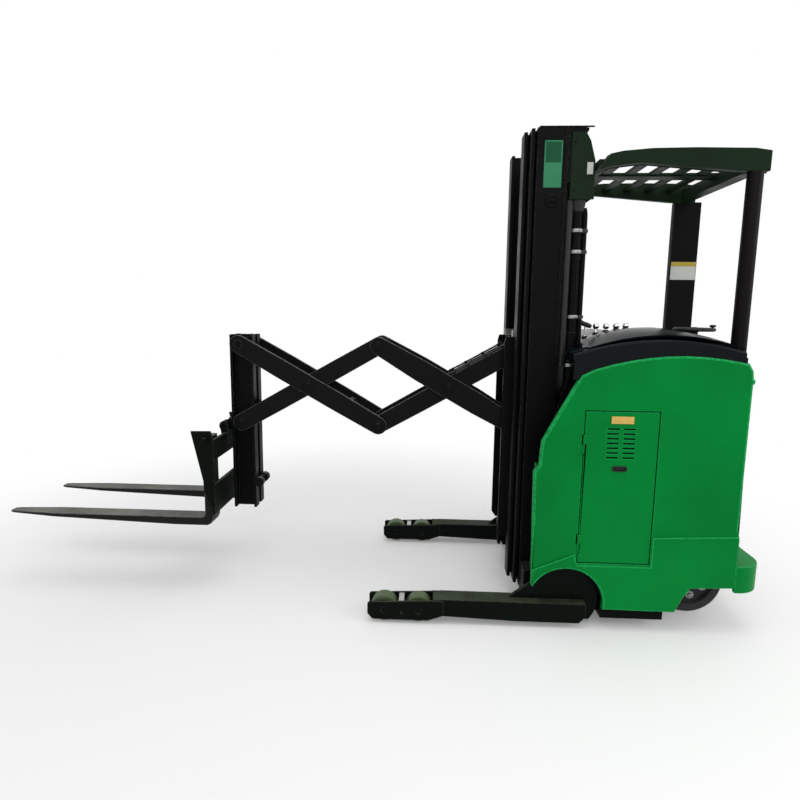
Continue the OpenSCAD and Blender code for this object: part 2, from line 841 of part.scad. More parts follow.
// pins carried by an inner arm pair and passing through the outer arms
module inner_pins(points) {
  for (p = points)
    bar_y(p[0], p[1], pin_d, -y_outer - arm_t - boss_t, y_outer + arm_t + boss_t);
}

// roller on a stub at one end of an arm pair
module end_rollers(x, z, y_arm) {
  both_sides() {
    bar_y(x, z, pin_d - 8, 42, y_arm + 1);
    bar_y(x, z, roller_d, 40, channel_half - 5);
  }
}

// rear inner arms, from the upper mast pivot to the lower middle pivot
module rear_inner_arms() {
  color("DarkSlateGray")
    union() {
      both_sides()
        arm(x_t0, pivot_top, -arm_tilt, y_inner, arm_r + 2, [0]);
      inner_pins([[x_t0 + pitch / 2, pivot_mid], [x_t1, pivot_low]]);
    }
}

// rear outer arms, from the mast roller to the upper middle pivot
module rear_outer_arms() {
  tie = arm_len / 2 + 235;
  color("DarkSlateGray")
    union() {
      both_sides()
        arm(x_t0, pivot_low, arm_tilt, y_outer, arm_mid_r, [arm_len / 2, arm_len]);
      end_rollers(x_t0, pivot_low, y_outer);
      bar_y(x_t0 + tie * cos(arm_tilt), pivot_low + tie * sin(arm_tilt), 44, -y_outer - 1, y_outer + 1);
    }
}

// front inner arms, from the fork frame roller to the upper middle pivot
module front_inner_arms() {
  color("DarkSlateGray")
    union() {
      both_sides()
        arm(x_t1, pivot_top, -arm_tilt, y_inner, arm_r + 2, []);
      inner_pins([[x_t1, pivot_top], [x_t1 + pitch / 2, pivot_mid]]);
      end_rollers(x_t2, pivot_low, y_inner);
    }
}

// front outer arms, from the lower middle pivot to the fork frame
module front_outer_arms() {
  tie = arm_len / 2 - 235;
  color("DarkSlateGray")
    union() {
      both_sides()
        arm(x_t1, pivot_low, arm_tilt, y_outer, arm_r + 4, [0, arm_len / 2, arm_len]);
      bar_y(x_t1 + tie * cos(arm_tilt), pivot_low + tie * sin(arm_tilt), 44, -y_outer - 1, y_outer + 1);
    }
}

// upright frame at the front of the scissor
module fork_frame() {
  x_f = x_t2 + channel_d / 2;
  color("DarkSlateGray")
    union() {
      scissor_channels(x_t2, frame_low, frame_top);
      for (z = [frame_low + 20, pivot_top - 34, tilt_z - 40])
        block(x_t2 - 40, x_t2 + 40, -20, 20, z, z + 70);
      both_sides()
        block(x_t2 - 34, x_t2 + 34, 18, channel_half, pivot_top - 40, pivot_top + 34);
      bar_y(x_t2, pivot_top, pin_d, -y_outer - arm_t - boss_t, y_outer + arm_t + boss_t);
      both_sides()
        across(40, 66)
          union() {
            polygon([[x_f - 4, tilt_z - 26], [x_f - 4, tilt_z + 40], [x_tilt, tilt_z + 26],
              [x_tilt, tilt_z - 26]]);
            translate([x_tilt, tilt_z])
              circle(r = 26);
          }
      bar_y(x_tilt, tilt_z, 30, -102, 102);
    }
}

// carriage with two bars and side plates that the forks hang on
module fork_carriage() {
  color("DarkSlateGray")
    difference() {
      union() {
        block(x_bar - bar_t, x_bar, -bar_half, bar_half, frame_low + 32, frame_low + 189);
        block(x_bar - bar_t, x_bar, -bar_half, bar_half, frame_low + 317, frame_low + 424);
        both_sides()
          across(72, 98)
            union() {
              polygon([[x_bar - bar_t, frame_low + 380], [x_bar, frame_low + 380], [x_tilt + 24, tilt_z],
                [x_tilt - 24, tilt_z]]);
              translate([x_tilt, tilt_z])
                circle(r = 26);
            }
        both_sides()
          across(bar_half - 14, bar_half)
            polygon([[x_bar - bar_t, frame_low + 40], [x_bar - bar_t, frame_low + 424],
              [x_bar - 6, tilt_z + 10], [x_fork + 52, tilt_z + 8], [x_fork - 5, frame_low + 210],
              [x_fork - 8, frame_low + 150], [x_bar, frame_low + 60]]);
      }
      bar_y(x_tilt, tilt_z, 30 + 2 * pin_play, -103, 103);
    }
}

// a fork: shank, rounded heel and tapered blade
module fork(side) {
  y0 = side * y_fork - fork_w / 2;
  y1 = side * y_fork + fork_w / 2;
  color("SlateGray")
    difference() {
      across(y0, y1)
        polygon([[x_bar, frame_low + 440], [x_bar, fork_z - 10], [x_bar + 12, fork_z - 32],
          [x_bar + 34, fork_z - fork_t], [x_fork + 160, fork_z - fork_t], [x_tip - 6, fork_z - 12],
          [x_tip, fork_z - 4], [x_tip - 4, fork_z], [x_fork + 14, fork_z], [x_fork + 4, fork_z + 5],
          [x_fork, fork_z + 16], [x_fork - 4, frame_low + 440]]);
      for (s = [-1, 1])
        translate([0, side * y_fork, fork_z - 100])
          linear_extrude(height = 200)
            polygon([[x_tip - 260, s * fork_w / 2], [x_tip - 30, s * fork_w * 0.3],
              [x_tip + 1, s * fork_w * 0.2], [x_tip + 1, s * (fork_w / 2 + 1)],
              [x_tip - 260, s * (fork_w / 2 + 1)]]);
    }
}

// drive motor above the drive wheel
module drive_motor() {
  color("DimGray")
    bar_z(x_drive + 42, drive_y, drive_d + 112, drive_d + 112 + motor_h, motor_d);
}

// steered fork that holds the drive wheel
module drive_yoke() {
  y_in = drive_y - drive_w / 2 - yoke_gap;
  y_out = y_in - yoke_t;
  color("Gray")
    union() {
      translate([x_drive, drive_y, drive_d + 62])
        cylinder(r = 80, h = 24);
      translate([x_drive, drive_y, drive_d + 80])
        cylinder(r = drive_neck_r, h = 30);
      block(x_drive - yoke_half, x_drive + yoke_half, y_out, y_in, 120, drive_d + 30);
      block(x_drive - yoke_half, x_drive + yoke_half, y_out, drive_y + 60, drive_d + 12, drive_d + 63);
      bar_y(x_drive, drive_r, 110, y_out, y_in);
      bar_y(x_drive, drive_r, 50, y_in - 1, drive_y + drive_w / 2 - 20);
    }
}

// drive wheel with hub dish
module drive_wheel() {
  w = drive_w / 2;
  color("DimGray")
    translate([x_drive, drive_y, drive_r])
      rotate([-90, 0, 0])
        rotate_extrude($fn = 128)
          polygon([[25 + pin_play, -w], [drive_r - 12, -w], [drive_r, -w + 12], [drive_r, w - 12],
            [drive_r - 12, w], [drive_r - 46, w], [drive_r - 54, w - 24], [60, w - 24], [56, w - 8],
            [25 + pin_play, w - 8]]);
}

// swivelling fork of the caster
module caster_yoke() {
  y_c = -caster_y;
  x_a = x_caster - caster_trail;
  color("Gray")
    union() {
      translate([x_caster, y_c, 168])
        cylinder(r = 62, h = 12);
      translate([x_caster, y_c, 170])
        cylinder(r = caster_neck_r, h = 34);
      block(x_a - 34, x_caster + 26, y_c - 8, y_c + 8, 90, 170);
      bar_y(x_a, caster_r, 60, y_c - 8, y_c + 8);
      bar_y(x_a, caster_r, 24, y_c - caster_w - 12, y_c + caster_w + 12);
    }
}

// pair of caster wheels on one axle
module caster_wheels() {
  color("DimGray")
    for (s = [-1, 1])
      translate([x_caster - caster_trail, -caster_y + s * (caster_w / 2 + 13), caster_r])
        rotate([90, 0, 0])
          rotate_extrude($fn = 96)
            polygon([[12 + pin_play, -caster_w / 2], [caster_r - 6, -caster_w / 2],
              [caster_r, -caster_w / 2 + 6], [caster_r, caster_w / 2 - 6], [caster_r - 6, caster_w / 2],
              [12 + pin_play, caster_w / 2]]);
}

// small steering wheel with a spinner knob
module steering_wheel() {
  x_s = x_steer;
  z_rim = steer_seat + 23;
  color("Black")
    union() {
      bar_z(x_s, drive_y, steer_seat + 0.3, z_rim + 4, 60);
      translate([x_s, drive_y, z_rim])
        rotate_extrude($fn = 96)
          translate([84, 0])
            circle(r = 9, $fn = 24);
      for (a = [0, 120, 240])
        translate([x_s, drive_y, z_rim - 4])
          rotate([0, 0, a])
            translate([0, -9, 0])
              cube([84, 18, 8]);
      bar_z(x_s - 84, drive_y, z_rim, z_rim + 30, 24);
    }
}

placed() chassis_frame();
placed() leg();  // leg_left
placed() mirror([0, 1, 0]) leg();  // leg_right
placed() rockers();
placed() side_panel();  // side_panel_left
placed() mirror([0, 1, 0]) side_panel();  // side_panel_right
placed() front_bulkhead();
placed() mast_gussets();
placed() rear_step();
placed() operator_walls();
placed() battery();
placed() console();
placed() control_levers();
placed() service_door();  // service_door_left
placed() mirror([0, 1, 0]) service_door();  // service_door_right
placed() guard_roof();
placed() guard_pillar_left();
placed() guard_pillar_right();
placed() mast_outer();
placed() mast_outer_ties();
placed() lift_barrels();
placed() mast_covers();
placed() mast_middle();
placed() mast_middle_ties();
placed() lift_rods();
placed() mast_inner();
placed() mast_inner_ties();
placed() lift_chains();
placed() mast_carriage();
placed() carriage_rollers();
placed() rear_inner_arms();
placed() rear_outer_arms();
placed() front_inner_arms();
placed() front_outer_arms();
placed() fork_frame();
placed() fork_carriage();
placed() fork(1);  // fork_left
placed() fork(-1);  // fork_right
placed() load_wheel(x_wheel_1, 1);  // load_wheel_lf
placed() load_wheel(x_wheel_2, 1);  // load_wheel_lr
placed() load_wheel(x_wheel_1, -1);  // load_wheel_rf
placed() load_wheel(x_wheel_2, -1);  // load_wheel_rr
placed() drive_motor();
placed() drive_yoke();
placed() drive_wheel();
placed() caster_yoke();
placed() caster_wheels();
placed() steering_wheel();
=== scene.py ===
"""Looks of a double-deep reach truck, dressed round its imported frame."""
import json
from math import cos, pi, radians, sin

import bmesh
import bpy
from mathutils import Matrix, Vector
from mathutils.bvhtree import BVHTree

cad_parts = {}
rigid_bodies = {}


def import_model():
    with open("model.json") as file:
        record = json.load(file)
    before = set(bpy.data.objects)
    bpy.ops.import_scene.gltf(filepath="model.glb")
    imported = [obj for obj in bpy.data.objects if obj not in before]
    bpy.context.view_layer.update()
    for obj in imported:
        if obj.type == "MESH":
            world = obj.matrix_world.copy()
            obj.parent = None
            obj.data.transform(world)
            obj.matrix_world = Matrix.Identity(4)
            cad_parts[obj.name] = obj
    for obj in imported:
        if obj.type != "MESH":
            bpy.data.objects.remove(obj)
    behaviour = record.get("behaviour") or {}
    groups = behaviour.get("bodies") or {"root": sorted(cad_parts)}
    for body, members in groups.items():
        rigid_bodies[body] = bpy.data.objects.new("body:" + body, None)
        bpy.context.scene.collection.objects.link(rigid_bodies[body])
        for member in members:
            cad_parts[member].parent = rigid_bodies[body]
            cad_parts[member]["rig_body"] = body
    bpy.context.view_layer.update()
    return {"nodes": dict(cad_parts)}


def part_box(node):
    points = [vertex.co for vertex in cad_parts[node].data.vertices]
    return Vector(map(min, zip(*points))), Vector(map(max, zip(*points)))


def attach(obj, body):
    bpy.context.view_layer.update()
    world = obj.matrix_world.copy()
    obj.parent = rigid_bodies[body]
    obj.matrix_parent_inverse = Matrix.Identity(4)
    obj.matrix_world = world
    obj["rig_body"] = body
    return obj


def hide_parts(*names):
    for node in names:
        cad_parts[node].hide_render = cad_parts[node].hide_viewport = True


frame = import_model()

scene = bpy.context.scene
UP = Vector((0, 0, 1))
LEFT = Vector((0, 1, 0))
RIGHT = Vector((0, -1, 0))
FORWARD = Vector((1, 0, 0))
DOWN = Vector((0, 0, -1))
SIDES = ((1, LEFT, "left"), (-1, RIGHT, "right"))

# Places taken from the frame: the leg tips are the zero of the truck's own length scale
TIP_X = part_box("leg_left")[1].x
BODY_OF = {n: o["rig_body"] for n, o in frame["nodes"].items()}


def from_tip(x):
    """Row X of a place given by its distance in front of the leg tips."""
    return TIP_X + x


def at(x, y, z):
    """A place whose length is measured from the leg tips."""
    return Vector((from_tip(x), y, z))


# Node groups

def new_group(name, colours, shares, vectors=()):
    """A surface group with its own inputs, two limits of roughness and the outputs of every surface."""
    tree = bpy.data.node_groups.new(name, "ShaderNodeTree")
    for way, labels, kind in (("INPUT", colours, "Color"), ("INPUT", (*shares, "Smooth", "Rough"), "Float"),
                              ("INPUT", vectors, "Vector"), ("OUTPUT", ("Colour",), "Color"),
                              ("OUTPUT", ("Roughness", "Height"), "Float")):
        for label in labels:
            tree.interface.new_socket(label, in_out=way, socket_type="NodeSocket" + kind)
    return tree, tree.nodes.new("NodeGroupInput").outputs, tree.nodes.new("NodeGroupOutput").inputs


def plug(tree, target, value):
    """Links a socket to a target, or sets the target's own value."""
    if isinstance(value, bpy.types.NodeSocket):
        tree.links.new(value, target)
    else:
        target.default_value = value


def wired(tree, kind, inputs, output, **settings):
    """Adds a shader node with its settings and inputs and returns one of its outputs."""
    node = tree.nodes.new("ShaderNode" + kind)
    for label, value in settings.items():
        setattr(node, label, value)
    for label, value in inputs.items():
        plug(tree, node.inputs[label], value)
    return node.outputs[output]


def noise(tree, vector, scale, detail=3.0, rough=0.5):
    return wired(tree, "TexNoise", {"Vector": vector, "Scale": scale, "Detail": detail,
                                    "Roughness": rough}, "Fac")


def ramp(tree, value, low, high, to_low=0.0, to_high=1.0):
    return wired(tree, "MapRange", {"Value": value, "From Min": low, "From Max": high, "To Min": to_low,
                                    "To Max": to_high}, "Result", interpolation_type="SMOOTHSTEP")


def maths(tree, kind, a, b):
    return wired(tree, "Math", {0: a, 1: b}, 0, operation=kind)


def times(tree, a, b):
    return maths(tree, "MULTIPLY", a, b)


def blend(tree, share, a, b):
    return wired(tree, "Mix", {0: share, 6: a, 7: b}, 2, data_type="RGBA")


def tinted(tree, colour, value):
    return wired(tree, "HueSaturation", {"Color": colour, "Value": value}, "Color")


def stretched(tree, vector, scale):
    return wired(tree, "Mapping", {"Vector": vector, "Scale": scale}, "Vector")


def coords(tree, kind="Object"):
    return wired(tree, "TexCoord", {}, kind)


def edge_mask(tree):
    """The rounded edges that the mesh code marks as exposed."""
    return wired(tree, "Attribute", {}, "Fac", attribute_name="edge")


def sheen(tree, given, value, low, high):
    """Roughness between the two limits that a group is given."""
    return ramp(tree, value, low, high, given["Smooth"], given["Rough"])


def enamel_group():
    """Brushed-on enamel: cloudy tone, edges lightened by wear and by a painted highlight, a dusting on upward
    faces that also paints their tops lighter as a painted highlight, and orange peel.
    """
    tree, given, out = new_group("enamel_surface", ("Coat Colour", "Highlight And Wear Colour", "Sheen And Dusting Colour"),
                                 ("Edge Highlight And Wear", "Top Sheen And Dusting", "Scuffs"))
    where = coords(tree)
    facing_up = ramp(tree, wired(tree, "SeparateXYZ", {0: coords(tree, "Normal")}, "Z"), 0.7, 0.98)
    cloud = noise(tree, where, 2.4, 4.0)
    coat = tinted(tree, given["Coat Colour"], ramp(tree, cloud, 0.3, 0.7, 0.88, 1.1))
    speckle = noise(tree, where, 85.0, 6.0, 0.7)
    # Lighter colour on the rounded edges: wear, and also a painted highlight along them
    edge = times(tree, edge_mask(tree), given["Edge Highlight And Wear"])
    wear_and_highlight = ramp(tree, maths(tree, "ADD", edge, times(tree, speckle, 0.6)), 0.6, 0.82)
    drawn_out = stretched(tree, where, (3.0, 9.0, 26.0))
    streak = ramp(tree, noise(tree, drawn_out, 2.2, 8.0, 0.65), 0.6, 0.8)
    scuffed = times(tree, streak, given["Scuffs"])
    # Lighter colour on upward faces: dusting, and also a painted highlight that makes the tops look lit
    sheen_and_dusting_patches = ramp(tree, noise(tree, where, 5.0, 6.0, 0.6), 0.3, 0.75, 0.35, 1.0)
    dusting_and_sheen = times(tree, times(tree, facing_up, sheen_and_dusting_patches), given["Top Sheen And Dusting"])
    # Mask of edge wear and scuffs; it also carries the painted edge highlight
    bare = maths(tree, "MAXIMUM", wear_and_highlight, scuffed)
    chipped_and_lit = blend(tree, bare, coat, given["Highlight And Wear Colour"])
    plug(tree, out["Colour"], blend(tree, dusting_and_sheen, chipped_and_lit, given["Sheen And Dusting Colour"]))
    patchy = sheen(tree, given, noise(tree, where, 7.0, 4.0), 0.3, 0.7)
    plug(tree, out["Roughness"], maths(tree, "ADD", patchy, times(tree, dusting_and_sheen, 0.3)))
    peel = noise(tree, where, 240.0, 1.0)
    plug(tree, out["Height"], maths(tree, "SUBTRACT", peel, times(tree, bare, 0.6)))
    return tree


def steel_group():
    """Bare steel: a fine directional grain under faint stains."""
    tree, given, out = new_group("steel_surface", ("Steel Colour", "Stain Colour"), ("Stain",), ("Stretch",))
    where = coords(tree)
    grain = noise(tree, stretched(tree, where, given["Stretch"]), 60.0, 3.0)
    blotch = ramp(tree, noise(tree, where, 9.0, 6.0, 0.65), 0.42, 0.75)
    stained = times(tree, blotch, given["Stain"])
    bright = tinted(tree, given["Steel Colour"], ramp(tree, grain, 0.3, 0.7, 0.82, 1.12))
    plug(tree, out["Colour"], blend(tree, stained, bright, given["Stain Colour"]))
    plug(tree, out["Roughness"], sheen(tree, given, grain, 0.3, 0.7))
    plug(tree, out["Height"], grain)
    return tree


def moulding_group():
    """Moulded plastic or rubber: a fine grain, faded patches and rubbed edges."""
    tree, given, out = new_group("moulding_surface", ("Colour", "Faded Colour"), ("Fading", "Grain Scale"))
    where = coords(tree)
    patch = ramp(tree, noise(tree, where, 11.0, 5.0, 0.6), 0.4, 0.75)
    rubbed = maths(tree, "MAXIMUM", patch, times(tree, edge_mask(tree), 0.6))
    faded = times(tree, rubbed, given["Fading"])
    grain = noise(tree, where, given["Grain Scale"], 2.0)
    aged = blend(tree, faded, given["Colour"], given["Faded Colour"])
    plug(tree, out["Colour"], aged)
    plug(tree, out["Roughness"], sheen(tree, given, patch, 0.0, 1.0))
    plug(tree, out["Height"], grain)
    return tree


ENAMEL = enamel_group()
STEEL = steel_group()
MOULDING = moulding_group()


# Materials


def finish_of(name, tree, values, bump, metallic=0.0, specular=0.5):
    """A material: one surface group in front of its shader, kept with the slot that it fills."""
    mat = bpy.data.materials.new(name)
    mat.use_nodes = True
    nodes = mat.node_tree
    shader = nodes.nodes["Principled BSDF"]
    surface = nodes.nodes.new("ShaderNodeGroup")
    surface.node_tree = tree
    for label, value in values.items():
        surface.inputs[label].default_value = value
    made = surface.outputs
    normal = wired(nodes, "Bump", {"Strength": bump, "Distance": 0.002, "Height": made["Height"]}, "Normal")
    for label, value in (("Base Color", made["Colour"]), ("Roughness", made["Roughness"]), ("Normal", normal),
                         ("Metallic", metallic), ("Specular IOR Level", specular)):
        plug(nodes, shader.inputs[label], value)
    return mat


def enamel(name, coat, wear_and_highlight, sheen_and_dusting_colour, shares, rough, specular):
    """Paint: three colours, shares of edge wear (also a painted edge highlight), dusting (also a painted
    lighter top) and scuffs, and the limits of roughness.
    """
    values = {"Coat Colour": (*coat, 1), "Highlight And Wear Colour": (*wear_and_highlight, 1), "Sheen And Dusting Colour": (*sheen_and_dusting_colour, 1)}
    values.update(zip(("Edge Highlight And Wear", "Top Sheen And Dusting", "Scuffs", "Smooth", "Rough"), (*shares, *rough)))
    return finish_of(name, ENAMEL, values, 0.06, specular=specular)


def steel(name, colour, stain, amount, stretch, rough, bump=0.1):
    """Bare metal: its colour and stains, the stretch of its grain and the limits of roughness."""
    return finish_of(name, STEEL, {
        "Steel Colour": (*colour, 1), "Stain Colour": (*stain, 1), "Stain": amount, "Stretch": stretch,
        "Smooth": rough[0], "Rough": rough[1]}, bump, metallic=1.0)


def moulding(name, colour, faded, fading, grain, rough, bump=0.1, specular=0.25):
    """Plastic or rubber: its colour new and faded, the scale of its grain and the limits of roughness."""
    return finish_of(name, MOULDING, {
        "Colour": (*colour, 1), "Faded Colour": (*faded, 1), "Fading": fading, "Grain Scale": grain,
        "Smooth": rough[0], "Rough": rough[1]}, bump, specular=specular)


def blank_sheet(name, colour, faded, rough=(0.4, 0.55), specular=0.25):
    """Printed sheet of a plate that carries no mark."""
    return moulding(name, colour, faded, 0.5, 90.0, rough, 0.03, specular)


# Green paint: its lighter edge colour also paints highlight lines on the rolled rims, creases and wheel arch
# lip (painted highlight).
GREEN = enamel("green_enamel", (0.0, 0.222, 0.035), (0.02, 0.42, 0.12), (0.03, 0.3, 0.09),
               (0.42, 0.15, 0.02), (0.3, 0.42), 0.06)
BLACK = enamel("black_enamel", (0.003, 0.0032, 0.0034), (0.05, 0.05, 0.048),
               (0.05, 0.052, 0.048), (0.36, 0.5, 0.05), (0.36, 0.52), 0.05)
# Arm paint: its pale edge colour also paints the bright highlight lines along the arms' top edges.
ARM = enamel("arm_enamel", (0.0052, 0.0054, 0.0052), (0.12, 0.12, 0.115),
             (0.2, 0.205, 0.195), (0.42, 0.8, 0.06), (0.34, 0.48), 0.06)
GUARD = enamel("guard_enamel", (0.0088, 0.02, 0.0095), (0.05, 0.07, 0.045),
               (0.06, 0.07, 0.05), (0.3, 0.35, 0.06), (0.38, 0.52), 0.05)
PILLAR = enamel("pillar_enamel", (0.0058, 0.0045, 0.0048), (0.06, 0.06, 0.055),
                (0.06, 0.06, 0.055), (0.3, 0.3, 0.06), (0.32, 0.46), 0.06)
# Leg paint: its pale dusting on upward faces also paints the legs' tops lighter, a painted highlight.
OLIVE = enamel("olive_enamel", (0.0026, 0.0046, 0.003), (0.06, 0.07, 0.05),
               (0.068, 0.085, 0.056), (0.36, 0.95, 0.08), (0.4, 0.56), 0.05)
COAT_GREY = enamel("battery_coat", (0.04, 0.04, 0.044), (0.15, 0.15, 0.14),
                   (0.12, 0.12, 0.11), (0.3, 0.4, 0.1), (0.5, 0.65), 0.15)
FORK = enamel("fork_steel", (0.007, 0.0073, 0.0068), (0.15, 0.15, 0.14),
              (0.2, 0.205, 0.185), (0.42, 1.0, 0.1), (0.34, 0.5), 0.12)
BRIGHT = steel("bright_steel", (0.42, 0.42, 0.4), (0.16, 0.15, 0.13), 0.35, (18, 18, 2),
               (0.26, 0.42))
CHROME = steel("rod_chrome", (0.72, 0.73, 0.74), (0.4, 0.4, 0.4), 0.1, (30, 30, 1),
               (0.08, 0.16), 0.03)
CHAIN = steel("chain_steel", (0.1, 0.1, 0.095), (0.03, 0.028, 0.025), 0.6, (8, 8, 8),
              (0.32, 0.5))
ZINC = steel("bolt_zinc", (0.3, 0.3, 0.29), (0.1, 0.1, 0.09), 0.5, (6, 6, 6), (0.3, 0.46))
GOLD = steel("badge_gold", (0.62, 0.42, 0.12), (0.3, 0.19, 0.05), 0.4, (2, 8, 26),
             (0.24, 0.38))
GLOSS = moulding("console_gloss", (0.002, 0.0042, 0.0052), (0.004, 0.007, 0.009), 0.5,
                 420.0, (0.1, 0.18), 0.02, 0.1)
HOOD = moulding("hood_gloss", (0.002, 0.0044, 0.0056), (0.004, 0.007, 0.009), 0.5,
                420.0, (0.2, 0.32), 0.02, 0.03)
GRIP = moulding("grip_matt", (0.012, 0.012, 0.012), (0.035, 0.035, 0.035), 0.5, 520.0,
                (0.45, 0.62), 0.2)
HOSE = moulding("hose_rubber", (0.01, 0.01, 0.011), (0.03, 0.03, 0.03), 0.5, 380.0,
                (0.42, 0.6), 0.25)
MAT_RUBBER = moulding("mat_rubber", (0.016, 0.016, 0.017), (0.05, 0.05, 0.048), 0.6, 260.0,
                      (0.6, 0.8), 0.3)
LOAD_TREAD = moulding("load_tread", (0.062, 0.098, 0.04), (0.1, 0.13, 0.075), 0.5, 140.0,
                      (0.42, 0.6))
DRIVE_TREAD = moulding("drive_tread", (0.014, 0.014, 0.015), (0.05, 0.048, 0.044), 0.6,
                       180.0, (0.55, 0.75), 0.2)
PALE_PLATE = blank_sheet("pale_green_plate", (0.034, 0.215, 0.105), (0.06, 0.28, 0.145), (0.35, 0.5), 0.1)
DEEP_PLATE = blank_sheet("deep_green_plate", (0.006, 0.075, 0.031), (0.01, 0.1, 0.043), (0.35, 0.5), 0.1)
WHITE_PLATE = blank_sheet("white_plate", (0.6, 0.62, 0.58), (0.45, 0.47, 0.43))
YELLOW_PLATE = blank_sheet("yellow_band", (0.48, 0.36, 0.05), (0.35, 0.28, 0.06))


# Mesh tools

SMOOTH_ANGLE = 38


def new_mesh():
    bm = bmesh.new()
    bm.faces.layers.float.new("edge")
    return bm


def paint(faces, material):
    for face in faces:
        face.material_index = material


def weld(bm, gap=2e-5):
    bmesh.ops.remove_doubles(bm, verts=bm.verts, dist=gap)


def rounded(bm, radius, segments=2, angle=30, only=None):
    """Rounds the sharp edges and marks the new faces as exposed edges."""
    edges = [e for e in bm.edges if len(e.link_faces) == 2 and e.calc_face_angle(0.0) > radians(angle)
             and (only is None or only(e))]
    made = bmesh.ops.bevel(bm, geom=edges, offset=radius, segments=segments, profile=0.5, affect="EDGES",
                           clamp_overlap=False)
    mark = bm.faces.layers.float.get("edge")
    for face in made["faces"]:
        face[mark] = 1.0
    return bm


def piece(name, bm, material, body="truck", stands_for=(), smooth=SMOOTH_ANGLE):
    """Turns a mesh into a piece that rides on a body; material may be a list used by face index."""
    materials = material if isinstance(material, list) else [material]
    bmesh.ops.recalc_face_normals(bm, faces=bm.faces)
    mesh = bpy.data.meshes.new(name)
    bm.to_mesh(mesh)
    bm.free()
    for one in materials:
        mesh.materials.append(one)
    mesh.polygons.foreach_set("use_smooth", [True] * len(mesh.polygons))
    mesh.set_sharp_from_angle(angle=radians(smooth))
    obj = bpy.data.objects.new(name, mesh)
    scene.collection.objects.link(obj)
    weighted = obj.modifiers.new("level_faces", "WEIGHTED_NORMAL")
    weighted.keep_sharp = True
    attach(obj, body)
    if stands_for:
        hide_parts(*stands_for)


def dressed(node, bm, material):
    """A piece that stands for one CAD node and rides on its body."""
    piece(node + "_dressed", bm, material, BODY_OF[node], (node,))


def node_copy(node):
    bm = new_mesh()
    bm.from_mesh(frame["nodes"][node].data)
    paint(bm.faces, 0)
    return bm


def node_mesh(node):
    """A clean copy of a CAD node's mesh, its flat faces joined."""
    bm = node_copy(node)
    weld(bm)
    bmesh.ops.dissolve_limit(bm, angle_limit=radians(0.4), verts=bm.verts, edges=bm.edges,
                             use_dissolve_boundaries=False)
    return bm


def box(bm, low, high, material=0):
    made = bmesh.ops.create_cube(bm, size=1.0)["verts"]
    low, high = Vector(low), Vector(high)
    for v in made:
        v.co = Vector((low[i] if v.co[i] < 0 else high[i]) for i in range(3))
    paint({f for v in made for f in v.link_faces}, material)


def rounded_box(low, high, radius):
    bm = new_mesh()
    box(bm, low, high)
    return rounded(bm, radius)


def turned(bm, profile, origin, axis, sides, material=0, ring=False, capped=True):
    """A profile of (radius, height) pairs turned round an axis; a radius of 0 closes to a point."""
    placing = Matrix.Translation(origin) @ UP.rotation_difference(axis).to_matrix().to_4x4()
    turns = [2 * pi * i / sides for i in range(sides)]
    rings = []
    for radius, height in profile:
        spots = [(radius * cos(a), radius * sin(a), height) for a in turns] if radius else [(0, 0, height)]
        rings.append([bm.verts.new(placing @ Vector(spot)) for spot in spots])
    faces = []
    for a, b in zip(rings, rings[1:] + rings[:1] if ring else rings[1:]):
        for i in range(sides):
            j = (i + 1) % sides
            corners = [a[i % len(a)], a[j % len(a)], b[j % len(b)], b[i % len(b)]]
            faces.append(bm.faces.new(list(dict.fromkeys(corners))))
    if capped and not ring:
        faces += [bm.faces.new(end) for end in (rings[0], rings[-1]) if len(end) > 1]
    paint(faces, material)


def hex_bolt(bm, point, axis, across, head, material=0):
    """A washer under a chamfered hexagon head."""
    washer, low, top = across * 0.92, head * 0.2, head * 0.26
    turned(bm, [(0, -0.001), (washer, -0.001), (washer, low), (across * 0.85, top), (0, top)],
           point, axis, 24, material)
    r = across * 0.577
    turned(bm, [(0, low), (r, low), (r, head * 0.86), (r * 0.86, head), (0, head)], point, axis, 6, material)


def cap_screw(bm, point, axis, radius, head, material=0):
    """A low domed head with a socket."""
    turned(bm, [(0, -0.001), (radius, -0.001), (radius, head * 0.45), (radius * 0.8, head * 0.9),
                (radius * 0.5, head), (radius * 0.45, head * 0.5), (0, head * 0.5)],
           point, axis, 16, material)


def smooth_path(points, steps):
    """Points along a smooth curve through the given ones."""
    pts = [Vector(p) for p in points]
    ends = [pts[0] * 2 - pts[1], *pts, pts[-1] * 2 - pts[-2]]
    path = []
    for i in range(1, len(ends) - 2):
        a, b, c, d = ends[i - 1:i + 3]
        for k in range(steps):
            t = k / steps
            path.append(0.5 * ((2 * b) + (c - a) * t + (2 * a - 5 * b + 4 * c - d) * t ** 2
                               + (3 * b - a - 3 * c + d) * t ** 3))
    return [*path, pts[-1]]


def swept(bm, points, radius, sides, steps, material=0):
    """A round tube along a smooth path, closed at both ends; without steps the path stays straight."""
    path = smooth_path(points, steps) if steps else [Vector(p) for p in points]
    turns = [2 * pi * k / sides for k in range(sides)]
    rings = []
    normal = None
    for i, p in enumerate(path):
        run = (path[min(i + 1, len(path) - 1)] - path[max(i - 1, 0)]).normalized()
        if normal is None:
            normal = run.orthogonal().normalized()
        normal = (normal - run * normal.dot(run)).normalized()
        other = run.cross(normal)
        rings.append([bm.verts.new(p + radius * (normal * cos(a) + other * sin(a))) for a in turns])
    faces = [bm.faces.new([a[k], a[(k + 1) % sides], b[(k + 1) % sides], b[k]])
             for a, b in zip(rings, rings[1:]) for k in range(sides)]
    faces += [bm.faces.new(rings[0]), bm.faces.new(rings[-1])]
    paint(faces, material)


